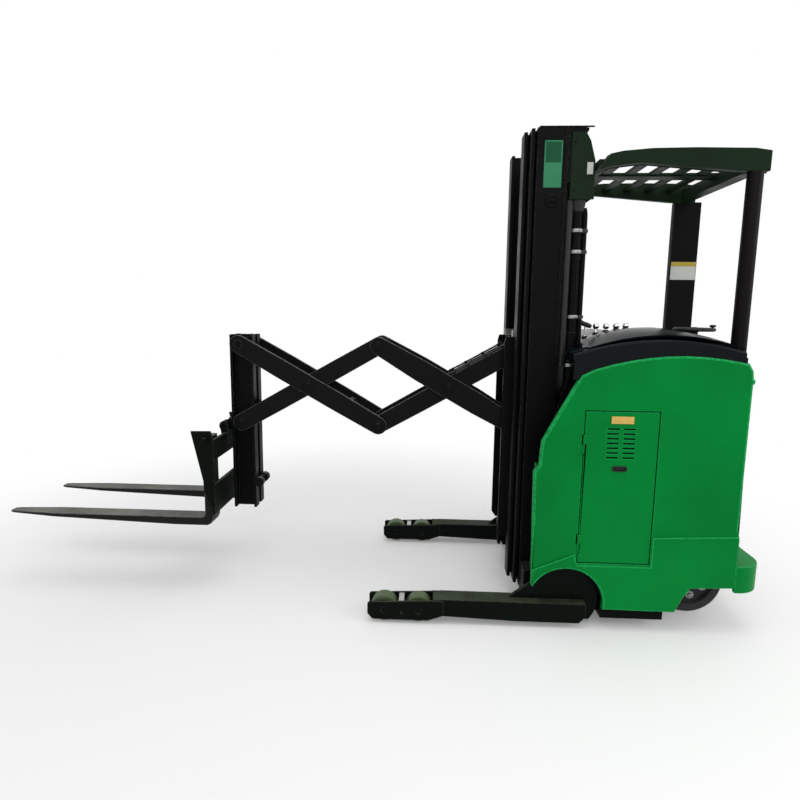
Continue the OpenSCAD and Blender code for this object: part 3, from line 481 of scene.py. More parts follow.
def prism(bm, outline, low, high, material=0):
    """An upright outline of (X, Z) pairs, given thickness across the truck."""
    near, far = ([bm.verts.new((x, y, z)) for x, z in outline] for y in (low, high))
    n = len(outline)
    faces = [bm.faces.new([near[i], near[(i + 1) % n], far[(i + 1) % n], far[i]]) for i in range(n)]
    faces += [bm.faces.new(near), bm.faces.new(far)]
    paint(faces, material)


def stadium(cx, cz, half, radius, steps=10):
    """Outline of a slot with round ends, its straight sides along the first axis."""
    outline = []
    for end, start in ((half, -90), (-half, 90)):
        for i in range(steps + 1):
            turn = radians(start + 180 * i / steps)
            outline.append((cx + end + radius * cos(turn), cz + radius * sin(turn)))
    return outline


SURFACES = {}


def touch(node, start, way):
    """The first point of a CAD node met from a start along a direction, or None."""
    if node not in SURFACES:
        mesh = frame["nodes"][node].data
        SURFACES[node] = BVHTree.FromPolygons([v.co for v in mesh.vertices],
                                              [tuple(p.vertices) for p in mesh.polygons])
    return SURFACES[node].ray_cast(Vector(start), Vector(way))[0]


def outermost(nodes, x, z, sign):
    """The point that a ray from one side of the truck meets first, and its node."""
    hits = [(touch(n, (x, sign * 1.2, z), (0, -sign, 0)), n) for n in nodes]
    return max((h for h in hits if h[0] is not None), key=lambda h: h[0].y * sign)


def rolled_rim(bm, level, sign, radius_at, steps):
    """Rounds the rim of the flat face at one Y level, where its walls fall away from it."""
    mark = bm.faces.layers.float.get("edge")
    out = Vector((0, sign, 0))

    def flat_faces():
        return [f for f in bm.faces if f.normal.y * sign > 0.999
                and all(abs(v.co.y - level) < 2e-4 for v in f.verts)]

    def rim_loops(region):
        inside = set(region)
        return [loop for face in region for loop in face.loops
                if all(other is face or other not in inside for other in loop.edge.link_faces)]

    def held_points(loops):
        held = set()
        for loop in loops:
            for wall in loop.edge.link_faces:
                if any((v.co.y - level) * sign > 1e-4 for v in wall.verts):
                    held.update(loop.edge.verts)
        return held

    loops = rim_loops(flat_faces())
    held = held_points(loops)
    for edge in [loop.edge for loop in loops]:
        fixed = [v for v in edge.verts if v in held]
        length = edge.calc_length()
        if len(fixed) == 1 and length > 0.05:
            bmesh.utils.edge_split(edge, fixed[0], 0.03 / length)
    region = flat_faces()
    loops = rim_loops(region)
    held = held_points(loops)
    after = {loop.vert: loop.link_loop_next.vert for loop in loops}
    bmesh.ops.delete(bm, geom=region, context="FACES")
    rim_edges = []
    while after:
        first, following = next(iter(after.items()))
        del after[first]
        cycle = [first]
        while following is not first:
            cycle.append(following)
            following = after.pop(following)
        n = len(cycle)
        spots = [v.co.copy() for v in cycle]
        radii = [0.0 if v in held else radius_at(v.co) for v in cycle]
        inward = []
        for i in range(n):
            a = out.cross((spots[i] - spots[i - 1]).normalized())
            b = out.cross((spots[(i + 1) % n] - spots[i]).normalized())
            middle = (a + b).normalized()
            inward.append(middle / max(middle.dot(a), 0.35))
        rings = [cycle]
        for k in range(1, steps + 1):
            turn = radians(90 * k / steps)
            rings.append([bm.verts.new(p + way * r * (1 - cos(turn)) + out * r * (sin(turn) - 1))
                          for p, way, r in zip(spots, inward, radii)])
        for v, r in zip(cycle, radii):
            v.co -= out * r
        for a, b in zip(rings, rings[1:]):
            for i in range(n):
                j = (i + 1) % n
                bm.faces.new([a[i], a[j], b[j], b[i]])[mark] = 1.0
        last = rings[-1]
        rim_edges += [bm.edges.get((last[i], last[(i + 1) % n])) for i in range(n)]
    bmesh.ops.triangle_fill(bm, use_beauty=True, use_dissolve=False, edges=rim_edges, normal=out)
    weld(bm, 1e-6)


# Body panels and doors

ARCH_RADIUS = 0.174
ARCH_X, ARCH_Z = -0.93, 0.125
DOOR_LOW, DOOR_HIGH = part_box("service_door_left")
DOOR_MIDDLE = (DOOR_LOW.x + DOOR_HIGH.x - 0.007) / 2
DOOR_FACE = DOOR_HIGH.y - 0.0035
DOOR_MARGIN = 0.012


def console_crown(x):
    """Height of the console's top at a distance in front of the leg tips."""
    return 1.386 - 0.5 * (x + 1.324) ** 2


def band_top(x):
    """Height of the upper edge of the console's dark band."""
    return 1.335 - 0.42 * (x + 1.31) ** 2


def panel_top(x):
    """Height of the green panels' upper edge, under the console's dark band."""
    return band_top(x) - 0.014 - 0.0734 * (x + 1.675)


def on_door(sign, x, depth, z):
    """A place on a door, from the middle of its leaf and the level of its outer face."""
    return Vector((DOOR_MIDDLE + x, sign * (DOOR_FACE + depth), z))


def body_panels():
    """Side panels with a broad roll along their top and ends and a fine one round the door opening."""
    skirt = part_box("side_panel_left")[1].y
    skin = skirt - 0.01
    arch = Vector((from_tip(ARCH_X), ARCH_Z))

    def skin_radius(p):
        by_door = (DOOR_LOW.x - DOOR_MARGIN < p.x < DOOR_HIGH.x + DOOR_MARGIN
                   and DOOR_LOW.z - DOOR_MARGIN < p.z < DOOR_HIGH.z + DOOR_MARGIN)
        return 0.0018 if by_door else 0.004 if p.z < 0.3 else 0.013

    def skirt_radius(p):
        by_arch = abs((Vector((p.x, p.z)) - arch).length - ARCH_RADIUS) < 0.003
        return 0.009 if by_arch else 0.0045

    def trimmed(p):
        """Outline point under the console's dark band and behind the slanted front edge."""
        z = min(p.z, panel_top(p.x - TIP_X))
        x = min(p.x, from_tip(-0.953 + 0.532 * (1.2145 - z))) if z > 0.9 else p.x
        return Vector((x, p.y, z))

    for sign, _, side in SIDES:
        node = "side_panel_" + side
        bm = node_copy(node)
        for v in bm.verts:
            v.co = trimmed(v.co)
        weld(bm)
        for level, radius_at, steps in ((skin, skin_radius, 5), (skirt, skirt_radius, 3)):
            bm.normal_update()
            rolled_rim(bm, sign * level, sign, radius_at, steps)
        dressed(node, bm, GREEN)


def service_doors():
    """Doors with a black sheet behind the louvres as painted shade for the dark inside, and a sunk pull; the
    right one mirrors the left.
    """
    pull_z = DOOR_LOW.z + 0.449
    half, bend, rod, proud = 0.022, 0.0105, 0.0022, 0.0005
    for sign, _, side in SIDES:
        node = "service_door_" + side
        body = BODY_OF[node]
        bm = rounded(node_mesh("service_door_left"), 0.0022, 2, 50)
        for v in bm.verts:
            v.co.y *= sign
        dressed(node, bm, GREEN)
        # A black sheet just behind the louvres: painted shade that darkens the slots where the body's inside
        # would lie in shade.
        shade_sheet = rounded_box(on_door(sign, -0.085, -0.034, DOOR_HIGH.z - 0.245),
                              on_door(sign, 0.085, -0.0255, DOOR_HIGH.z - 0.055), 0.002)
        piece("louvre_shade_sheet_" + side, shade_sheet, BLACK, body)
        pull = new_mesh()
        prism(pull, stadium(DOOR_MIDDLE, pull_z, half, 0.0106), sign * (DOOR_FACE - 0.0125),
              sign * (DOOR_FACE - 0.0085))
        for way in (-1, 1):
            swept(pull, [on_door(sign, x, proud, pull_z + way * bend) for x in (-half, 0, half)], rod, 10, 3)
        for way in (-1, 1):
            bow = [on_door(sign, way * (half + bend * sin(a)), proud, pull_z + bend * cos(a))
                   for a in (radians(degrees) for degrees in range(0, 181, 30))]
            swept(pull, bow, rod, 10, 2)
        box(pull, on_door(sign, -0.016, -0.009, pull_z - 0.002), on_door(sign, 0.016, -0.004, pull_z + 0.006))
        piece("door_pull_" + side, pull, GRIP, body)


def blank_badge():
    """Plain gilt plate on the left door, with two rivets."""
    top = DOOR_HIGH.z
    bm = rounded_box(on_door(1, -0.05, 0, top - 0.054), on_door(1, 0.05, 0.003, top - 0.02), 0.0012)
    for x in (-0.042, 0.042):
        cap_screw(bm, on_door(1, x, 0.003, top - 0.037), LEFT, 0.004, 0.002)
    piece("blank_badge", bm, GOLD, "left_door")


def drive_kick_plate():
    """Folded sheet that closes the gap between the drive unit's rear wall and the step."""
    wall_low, wall_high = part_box("operator_walls")
    step_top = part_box("rear_step")[1].z
    rear, right, sheet = wall_low.x - 0.053, 0.058, 0.004
    top = step_top + 0.12
    bm = new_mesh()
    box(bm, (rear, right, step_top - 0.001), (rear + sheet, wall_high.y, top))
    box(bm, (rear + 0.001, right, top - sheet), (wall_low.x + 0.001, wall_high.y, top - 0.0004))
    for end in (right + 0.0005, wall_high.y - sheet - 0.0005):
        box(bm, (rear + 0.001, end, step_top - 0.0008), (wall_low.x + 0.0008, end + sheet, top - 0.001))
    piece("drive_kick_plate", rounded(bm, 0.0012), BLACK)


# Load wheels, drive wheel and caster

def wheel_size(node):
    """Centre, radius and half width of a wheel."""
    low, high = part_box(node)
    return (low + high) / 2, (high.z - low.z) / 2, (high.y - low.y) / 2


def load_wheels():
    """Moulded tyres on steel hubs, bored for the axle."""
    for node in ("load_wheel_lf", "load_wheel_lr", "load_wheel_rf", "load_wheel_rr"):
        centre, r, w = wheel_size(node)
        tread = [(0.041, -w), (r - 0.006, -w), (r - 0.0025, -w + 0.0012), (r - 0.0006, -w + 0.004),
                 (r, -w + 0.009)]
        tread += [(a, -b) for a, b in reversed(tread)]
        hub = [(0.0128, -w + 0.004), (0.024, -w + 0.004), (0.026, -w + 0.0055), (0.026, -w + 0.009),
               (0.036, -w + 0.009), (0.038, -w + 0.002), (0.041, -w)]
        far_hub = [(a, -b) for a, b in hub]
        bm = new_mesh()
        for profile, material in ((tread, 0), (hub, 1), (far_hub, 1), ((hub[0], far_hub[0]), 1)):
            turned(bm, profile, centre, LEFT, 72, material, capped=False)
        weld(bm, 1e-6)
        dressed(node, bm, [LOAD_TREAD, BRIGHT])


def rubber_wheel(node, hub_radius):
    """A CAD wheel with rounded edges, its faces inside the hub's radius in the second material."""
    centre = wheel_size(node)[0]
    bm = rounded(node_mesh(node), 0.003, 2, 25)
    for face in bm.faces:
        spot = face.calc_center_median() - centre
        face.material_index = 0 if Vector((spot.x, spot.z)).length > hub_radius else 1
    return bm


def drive_and_caster():
    """Drive wheel with seven nuts and a hub cap, and the twin caster."""
    centre, r, w = wheel_size("drive_wheel")
    bm = rubber_wheel("drive_wheel", r - 0.047)
    for k in range(7):
        turn = 2 * pi * k / 7
        nut = centre + Vector((0.085 * cos(turn), w - 0.024, 0.085 * sin(turn)))
        hex_bolt(bm, nut, LEFT, 0.022, 0.014, 2)
    cap_screw(bm, centre + Vector((0, w - 0.008, 0)), LEFT, 0.036, 0.01, 1)
    dressed("drive_wheel", bm, [DRIVE_TREAD, COAT_GREY, ZINC])
    dressed("caster_wheels", rubber_wheel("caster_wheels", 0.045), [DRIVE_TREAD, COAT_GREY])


# Plain structure: a material, the radius of the edges and the CAD nodes that have both

ARMS = ("rear_inner_arms", "rear_outer_arms", "front_inner_arms", "front_outer_arms")
PLAIN_NODES = (
    (BLACK, 0.0015, ("lift_barrels",)),
    (BLACK, 0.002, ("chassis_frame", "front_bulkhead", "mast_carriage", "fork_frame")),
    (BLACK, 0.0025, ("mast_gussets", "mast_outer", "mast_outer_ties", "mast_middle", "mast_middle_ties",
                     "mast_inner", "mast_inner_ties")),
    (BLACK, 0.003, ("operator_walls",)),
    (BLACK, 0.005, ("guard_pillar_right",)),
    (PILLAR, 0.0015, ("guard_pillar_left",)),
    (GUARD, 0.002, ("mast_covers",)),
    (OLIVE, 0.003, ("leg_left", "leg_right", "fork_carriage")),
    (COAT_GREY, 0.0015, ("drive_motor",)),
    (COAT_GREY, 0.002, ("caster_yoke",)),
    (COAT_GREY, 0.003, ("drive_yoke",)),
    (COAT_GREY, 0.006, ("battery",)),
    (ARM, 0.0025, ARMS),
    (FORK, 0.004, ("fork_left", "fork_right")),
    (GREEN, 0.003, ("rear_step",)),
    (BRIGHT, 0.0015, ("carriage_rollers",)),
    (CHROME, 0.0015, ("lift_rods",)))


def structure():
    """CAD nodes with their edges rounded, as welded and painted steel shows them."""
    for material, radius, nodes in PLAIN_NODES:
        for node in nodes:
            dressed(node, rounded(node_mesh(node), radius), material)


# Overhead guard

def guard_roof():
    """Roof of the guard: cranked side rails, a broad middle bar and five flat bars with open gaps."""
    low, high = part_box("guard_roof")
    front, back, half = from_tip(-1.002), low.x, 0.357
    rail = [(front, low.z), (front - 0.056, high.z - 0.026), (front - 0.112, high.z - 0.014),
            (front - 0.24, high.z - 0.003), (front - 0.43, high.z), (back + 0.07, high.z - 0.003),
            (back, high.z - 0.013), (back, low.z), (back + 0.13, low.z),
            (front - 0.2, low.z + 0.036), (front - 0.06, low.z + 0.02)]
    bm = new_mesh()
    for sign in (1, -1):
        prism(bm, rail, sign * 0.355, sign * high.y)
        box(bm, (front - 0.018, sign * 0.19, low.z + 0.024), (high.x, sign * 0.24, high.z - 0.044))
    for k in range(5):
        bar = front - 0.112 - 0.118 * k
        box(bm, (bar - 0.046, -half, high.z - 0.041), (bar, half, high.z - 0.027))
    box(bm, (back + 0.03, -0.045, high.z - 0.048), (front - 0.03, 0.045, high.z - 0.03))
    box(bm, (front - 0.062, -half, low.z + 0.022), (front - 0.018, half, high.z - 0.04))
    box(bm, (back, -half, low.z + 0.01), (back + 0.07, half, high.z - 0.03))
    dressed("guard_roof", rounded(bm, 0.003), GUARD)


# Controls, with places measured from the leg tips

STEER_AT = (-1.53, 0.285)
STEER_RADIUS = 0.085
HOOD_X, HOOD_LONG = -1.655, 0.677
HOOD_Y, HOOD_WIDE = 0.075, 0.45
HOOD_RISE = 0.027
BAND_INNER, BAND_OUTER = 0.5215, 0.5408
LEVER_Y = 0.2
LEVERS = ((-1.04, 1.42), (-1.092, 1.412), (-1.141, 1.412), (-1.19, 1.414), (-1.236, 1.416))
KNOB_RADIUS = 0.0155


def console_shell():
    """The console with a broad roll along its two long top edges and a fine one elsewhere."""
    bm = node_mesh("console")

    def long_top_edge(edge):
        return all(abs(v.co.y) > 0.535 and v.co.z > console_crown(v.co.x - TIP_X) - 0.03 for v in edge.verts)

    rounded(bm, 0.012, 5, 15, long_top_edge)
    rounded(bm, 0.002)
    for face in bm.faces:
        face.material_index = 1 if face.normal.z > 0.8 else 0
    dressed("console", bm, [GLOSS, HOOD])


def console_band():
    """Dark band of the console that shows above the green panels, with a blunt nose at the front."""
    run = [-0.914 - 0.0298 * k for k in range(26)]
    upper = [(from_tip(x), band_top(x) + 0.006) for x in run]
    lower = [(from_tip(x), panel_top(max(min(x, -0.945), -1.66)) - 0.03) for x in reversed(run)]
    for sign, _, side in SIDES:
        bm = new_mesh()
        prism(bm, upper + lower, sign * BAND_INNER, sign * BAND_OUTER)
        piece("console_band_" + side, rounded(bm, 0.004, 3), GLOSS)


def hood_rise(x, y):
    """How far the hood stands above the console's top, with a dish under the steering wheel."""
    u = (x - HOOD_X) / HOOD_LONG
    v = (y - HOOD_Y) / HOOD_WIDE
    if not (0 < u < 1 and 0 < v < 1):
        return 0.0
    dish = min(max((Vector((x, y)) - Vector(STEER_AT)).length / 0.09 - 1.15, 0.0), 1.0)
    return HOOD_RISE * (1 - (2 * u - 1) ** 4) * (1 - (2 * v - 1) ** 2) * dish * dish * (3 - 2 * dish)


def console_hood():
    """Glossy crowned hood on the console's left half, closed underneath."""
    bm = new_mesh()
    across, along = 20, 36
    rows = []
    for i in range(along + 1):
        x = HOOD_X + HOOD_LONG * i / along
        ys = [HOOD_Y + HOOD_WIDE * j / across for j in range(across + 1)]
        rows.append([bm.verts.new(at(x, y, console_crown(x) + hood_rise(x, y) - 0.0015)) for y in ys])
    for a, b in zip(rows, rows[1:]):
        for j in range(across):
            bm.faces.new([a[j], a[j + 1], b[j + 1], b[j]])
    rim = rows[0] + [r[-1] for r in rows[1:]] + rows[-1][-2::-1] + [r[0] for r in rows[-2:0:-1]]
    under = [bm.verts.new(v.co - UP * 0.006) for v in rim]
    n = len(rim)
    for i in range(n):
        bm.faces.new([rim[i], rim[(i + 1) % n], under[(i + 1) % n], under[i]])
    bm.faces.new(under)
    piece("console_hood", bm, HOOD, smooth=50)


def steering():
    """Small wheel with three spokes, a domed hub and a spinner knob."""
    hub = at(*STEER_AT, 1.404)
    bm = new_mesh()
    rim = [(STEER_RADIUS + 0.0085 * cos(a), 0.0085 * sin(a)) for a in (2 * pi * i / 14 for i in range(14))]
    turned(bm, rim, hub, UP, 72, 0, ring=True)
    turned(bm, [(0, -0.0295), (0.016, -0.0295), (0.018, -0.012), (0.027, -0.007), (0.029, 0.002),
                (0.024, 0.008), (0.012, 0.011), (0, 0.012)], hub, UP, 40)
    for k in range(3):
        way = Vector((cos(2 * pi * k / 3), sin(2 * pi * k / 3), 0))
        spoke = [hub + way * 0.02 - UP * 0.002, hub + way * 0.05 - UP * 0.004, hub + way * 0.083]
        swept(bm, spoke, 0.0055, 12, 5, 1)
    turned(bm, [(0, 0.002), (0.006, 0.002), (0.006, 0.01), (0.0135, 0.0115), (0.0145, 0.018),
                (0.011, 0.0222), (0.005, 0.0228), (0, 0.0228)], hub - FORWARD * STEER_RADIUS, UP, 28)
    dressed("steering_wheel", bm, [GRIP, BRIGHT])


def lever_row():
    """A black grip and four plated knobs on stems that leave rubber boots."""
    bm = new_mesh()
    for k, (x, top) in enumerate(LEVERS):
        seat = at(x, LEVER_Y, console_crown(x) + hood_rise(x, LEVER_Y) - 0.002)
        knob_z = top - seat.z
        turned(bm, [(0, -0.003), (0.017, -0.003), (0.017, 0.002), (0.0125, 0.004), (0.0125, 0.006),
                    (0.009, 0.008), (0, 0.008)], seat, UP, 28, 1)
        stem = [(0, 0.004), (0.0075, 0.004), (0.0052, 0.012), (0.0052, knob_z), (0, knob_z)]
        turned(bm, stem, seat, UP, 20)
        if k == 0:
            grip = Vector((0.94, 0, 0.34)).normalized()
            turned(bm, [(0, -0.032), (0.007, -0.0315), (0.0105, -0.026), (0.0125, -0.008), (0.0115, 0.01),
                        (0.0135, 0.023), (0.009, 0.0315), (0, 0.032)], seat + UP * knob_z, grip, 24, 1)
        else:
            arc = [(KNOB_RADIUS * sin(radians(a)), knob_z - KNOB_RADIUS * cos(radians(a)))
                   for a in range(20, 161, 20)]
            turned(bm, [(0, knob_z - KNOB_RADIUS), *arc, (0, knob_z + KNOB_RADIUS)], seat, UP, 28)
    dressed("control_levers", bm, [CHROME, GRIP])


def floor_mat():
    """Ribbed mat on the floor of the driver's well."""
    ground = touch("rear_step", at(-1.47, -0.23, 1.2), DOWN).z
    bm = rounded_box(at(-1.682, -0.506, ground - 0.001), at(-1.27, 0.046, ground + 0.006), 0.002)
    for k in range(18):
        swept(bm, [at(x, -0.485 + 0.0302 * k, ground + 0.006) for x in (-1.665, -1.288)], 0.0045, 8, 0)
    piece("floor_mat", bm, MAT_RUBBER)


# Mast

MAST_LOW, MAST_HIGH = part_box("mast_outer")
WEB, MAST_TOP = MAST_HIGH.y, MAST_HIGH.z
COVER_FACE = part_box("mast_covers")[1].y
CYLINDER_X, CYLINDER_Y = -0.947, 0.3
PIPE_X = -0.9835
HOSE_X, HOSE_Y = -0.9045, 0.314
BOSS_X, BOSS_Z = -0.822, 1.982
BAND_HEIGHTS = (1.228, 1.457, 1.757, 1.853)
CHAIN_PITCH = 0.0254
CHAIN_Y = 0.111


def leaf_chains():
    """Leaf chains: rows of plates that overlap on common pins."""
    low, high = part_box("lift_chains")
    x = (low.x + high.x) / 2
    base = low.z + 0.008
    count = int((high.z - low.z - 0.016) / CHAIN_PITCH)
    for sign, _, side in SIDES:
        bm = new_mesh()
        y = sign * CHAIN_Y
        for k in range(count):
            rows = (-0.0093, -0.0031, 0.0031, 0.0093) if k % 2 else (-0.0062, 0.0, 0.0062)
            link = [(b, a) for a, b in stadium(base + CHAIN_PITCH * (k + 0.5), x, CHAIN_PITCH / 2, 0.0076, 4)]
            for row in rows:
                prism(bm, link, y + row - 0.00145, y + row + 0.00145)
        for k in range(count + 1):
            turned(bm, [(0, -0.0112), (0.0034, -0.0112), (0.0034, 0.0112), (0, 0.0112)],
                   Vector((x, y, base + CHAIN_PITCH * k)), LEFT, 8)
        piece("leaf_chain_" + side, bm, CHAIN, BODY_OF["lift_chains"], ("lift_chains",) if sign > 0 else ())


def mast_rails():
    """Blank plate on the left outer rail; a boss, a top cap and a rear flange on both."""
    plate = rounded_box(at(-0.859, WEB - 0.0005, 2.04), at(-0.778, WEB + 0.0016, 2.245), 0.0007)
    box(plate, at(-0.853, WEB, 2.15), at(-0.784, WEB + 0.0022, 2.239), 1)
    for x in (-0.855, -0.782):
        for z in (2.044, 2.241):
            cap_screw(plate, at(x, WEB + 0.0016, z), LEFT, 0.003, 0.0018)
    piece("mast_blank_plate", plate, [PALE_PLATE, DEEP_PLATE])
    for sign, out, side in SIDES:
        boss = new_mesh()
        turned(boss, [(0, -0.001), (0.031, -0.001), (0.031, 0.005), (0.028, 0.0075), (0.019, 0.0075),
                      (0.017, 0.003), (0, 0.003)], at(BOSS_X, sign * WEB, BOSS_Z), out, 48)
        hex_bolt(boss, at(BOSS_X, sign * (WEB + 0.003), BOSS_Z), out, 0.019, 0.008)
        piece("mast_boss_" + side, boss, BLACK)
        cap = new_mesh()
        inner = sign * (WEB - 0.0065)
        box(cap, at(-0.996, inner, MAST_TOP - 0.001), at(-0.752, sign * (WEB + 0.004), MAST_TOP + 0.004))
        box(cap, at(-0.962, inner, 2.276), at(-0.884, sign * (WEB - 0.0005), MAST_TOP))
        piece("mast_cap_" + side, rounded(cap, 0.001), BLACK)
        flange = rounded_box((MAST_LOW.x + 0.0005, sign * (WEB - 0.001), 1.24),
                             (MAST_LOW.x + 0.015, sign * (WEB + 0.005), 2.302), 0.0022)
        piece("mast_rear_flange_" + side, flange, BLACK)


def cover_fittings():
    """A lip, two screws, a knob and a blank label on the cover of each lift cylinder."""
    slant = Vector((0.7071, 0, -0.7071))
    for sign, out, side in SIDES:
        cover = rounded_box(at(-1.009, sign * (COVER_FACE - 0.001), 1.988),
                            at(-0.899, sign * (COVER_FACE + 0.004), 2.003), 0.0015)
        for z in (2.03, 2.24):
            cap_screw(cover, at(-0.916, sign * COVER_FACE, z), out, 0.006, 0.004)
        corner = touch("mast_covers", at(-1.08, sign * 0.296, 2.318), slant)
        turned(cover, [(0, -0.002), (0.009, -0.002), (0.009, 0.005), (0.0145, 0.008), (0.0155, 0.015),
                       (0.012, 0.021), (0, 0.023)], corner, -slant, 24)
        piece("cover_fittings_" + side, cover, GUARD)
        label = rounded_box(at(-0.999, sign * (COVER_FACE - 0.0005), 2.098),
                            at(-0.972, sign * (COVER_FACE + 0.0012), 2.15), 0.0005)
        piece("cover_label_" + side, label, WHITE_PLATE)


def clamp_ring(bm, centre, bore, radius, half, land, sides, material=0):
    """A band round an upright pipe, its outer edges broken."""
    edge = radius - 0.001
    turned(bm, [(bore, -half), (edge, -half), (radius, -land), (radius, land), (edge, half), (bore, half)],
           centre, UP, sides, material, ring=True)


def cylinder_fittings():
    """A boot, a pipe, bands and a hose on each lift cylinder."""
    for sign, out, side in SIDES:
        foot = at(CYLINDER_X, sign * CYLINDER_Y, 0)
        boot = new_mesh()
        turned(boot, [(0.0258, 1.935), (0.0285, 1.935), (0.0295, 1.945), (0.037, 1.983), (0.037, 1.987),
                      (0.0258, 1.987)], foot, UP, 36, 0, ring=True)
        piece("cylinder_boot_" + side, boot, HOSE)
        pipe = new_mesh()
        pipe_foot = at(PIPE_X, sign * CYLINDER_Y, 0)
        swept(pipe, [pipe_foot + Vector((x, 0, z)) for x, z in (
            (0, 1.275), (0, 1.5), (0, 1.7), (0, 1.88), (0.001, 1.93), (0.006, 1.955))], 0.0125, 20, 5)
        for z in BAND_HEIGHTS[1:]:
            clamp_ring(pipe, pipe_foot + UP * z, 0.0123, 0.0175, 0.008, 0.005, 28, 1)
        piece("cylinder_pipe_" + side, pipe, [BLACK, COAT_GREY])
        bands = new_mesh()
        for z in BAND_HEIGHTS:
            clamp_ring(bands, foot + UP * z, 0.0262, 0.0312, 0.0075, 0.004, 40)
            cap_screw(bands, foot + Vector((-0.0105, sign * 0.029, z)), out, 0.005, 0.004)
        piece("cylinder_bands_" + side, bands, ZINC)
        hose = new_mesh()
        swept(hose, [at(HOSE_X, sign * HOSE_Y, z) for z in (1.225, 1.45, 1.72, 1.986)], 0.0185, 20, 4)
        piece("lift_hose_" + side, hose, HOSE)


# Pantograph and fork head

BACK_X, MIDDLE_X, FRONT_X = -0.749, -0.009, 0.731
HIGH_Z, CROSS_Z, LOW_Z = 1.294, 1.083, 0.872
FALLING_ARM, FALLING_Y = "rear_inner_arms", 0.090


def pivot_bolts():
    """Hexagon heads at the pantograph's pins, each on the arm that it shows on."""
    inner_pins = (((BACK_X + MIDDLE_X) / 2, CROSS_Z), ((MIDDLE_X + FRONT_X) / 2, CROSS_Z),
                  (MIDDLE_X, HIGH_Z), (MIDDLE_X, LOW_Z))
    end_pins = ((FRONT_X, LOW_Z), (BACK_X, LOW_Z))
    meshes = {}
    for pins, across, head in ((inner_pins, 0.03, 0.013), (end_pins, 0.026, 0.0075)):
        for x, z in pins:
            for sign, out, _ in SIDES:
                point, node = outermost(ARMS, from_tip(x), z, sign)
                hex_bolt(meshes.setdefault(BODY_OF[node], new_mesh()), point, out, across, head)
    for body, bm in meshes.items():
        piece("pivot_bolts_" + body, bm, ARM, body)


def arm_pipes():
    """Two short hydraulic pipes clipped to the top of each rear arm that falls from the mast."""
    slope = Vector((MIDDLE_X - BACK_X, 0, LOW_Z - HIGH_Z)).normalized()
    normal = Vector((-slope.z, 0, slope.x))
    for sign, _, side in SIDES:
        first, last = (touch(FALLING_ARM, at(x, sign * FALLING_Y, 2.0), DOWN) for x in (-0.66, -0.4))
        bm = new_mesh()
        for aside in (-0.0052, 0.0052):
            start, end = (p + normal * 0.007 + LEFT * aside for p in (first, last))
            swept(bm, [start + slope * -0.004 + normal * -0.006, start, start.lerp(end, 0.33),
                       start.lerp(end, 0.67), end, end + slope * 0.004 + normal * -0.006], 0.0046, 10, 5)
        for share, half in ((0.0, 0.016), (0.35, 0.008), (0.7, 0.008), (1.0, 0.016)):
            spot = first.lerp(last, share)
            corners = [spot + slope * a * half + normal * rise
                       for a, rise in ((-1, -0.001), (1, -0.001), (1, 0.013), (-1, 0.013))]
            prism(bm, [(c.x, c.z) for c in corners], spot.y - 0.0095, spot.y + 0.0095, 1)
        piece("arm_pipes_" + side, bm, [HOSE, ARM], BODY_OF[FALLING_ARM])


def carriage_blocks():
    """Stop blocks on the top of the mast carriage."""
    for sign, out, side in SIDES:
        seat = touch("mast_carriage", at(-0.715, sign * 0.145, 3.0), DOWN).z
        bm = rounded_box(at(-0.74, sign * 0.13, seat - 0.001),
                         at(-0.69, sign * 0.152, seat + 0.034), 0.003)
        hex_bolt(bm, at(-0.715, sign * 0.152, seat + 0.017), out, 0.016, 0.005)
        piece("carriage_block_" + side, bm, ZINC, BODY_OF["mast_carriage"])


def fork_head_fittings():
    """A latch knob on each side of the fork carriage and two rollers behind the fork frame."""
    for sign, out, side in SIDES:
        latches = new_mesh()
        knob = touch("fork_carriage", at(0.858, sign * 1.2, 0.815), -out)
        turned(latches, [(0, -0.001), (0.008, -0.001), (0.008, 0.01), (0.0145, 0.013), (0.0155, 0.022),
                         (0.012, 0.027), (0, 0.028)], knob, out, 28)
        piece("fork_latches_" + side, latches, OLIVE, "fork_head")
        roller = new_mesh()
        rest = touch("fork_frame", at(0.2, sign * 0.06, 0.53), FORWARD).x
        hub = Vector((rest - 0.014, sign * 0.03, 0.53))
        turned(roller, [(0, 0), (0.023, 0), (0.026, 0.003), (0.026, 0.037), (0.023, 0.04), (0.01, 0.04),
                        (0.009, 0.036), (0, 0.036)], hub, out, 36)
        hex_bolt(roller, hub + out * 0.036, out, 0.013, 0.006)
        box(roller, (rest - 0.024, sign * 0.02, 0.515), (rest + 0.002, sign * 0.031, 0.545))
        piece("frame_roller_" + side, roller, ARM, "fork_upright")


# Legs and plates

def between_wheels(letter):
    """X halfway between the two load wheels of one leg."""
    return sum(corner.x for end in "fr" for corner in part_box("load_wheel_" + letter + end)) / 4


def leg_bolts():
    """One bolt head on each leg, between its load wheels."""
    for sign, out, side in SIDES:
        bm = new_mesh()
        point, _ = outermost(("rockers", "leg_" + side), between_wheels(side[0]), 0.047, sign)
        hex_bolt(bm, point, out, 0.014, 0.005)
        piece("leg_bolt_" + side, bm, ARM)


def rocker_beams():
    """Bogie beams in the legs, dark like them, with a bare steel post between the wheels."""
    bm = rounded(node_mesh("rockers"), 0.0015)
    middle = between_wheels("l")
    for face in bm.faces:
        spot = face.calc_center_median()
        post = abs(spot.x - middle) < 0.022 and spot.z > 0.062 and abs(spot.y) < 0.535
        face.material_index = 1 if post else 0
    dressed("rockers", bm, [OLIVE, BRIGHT])


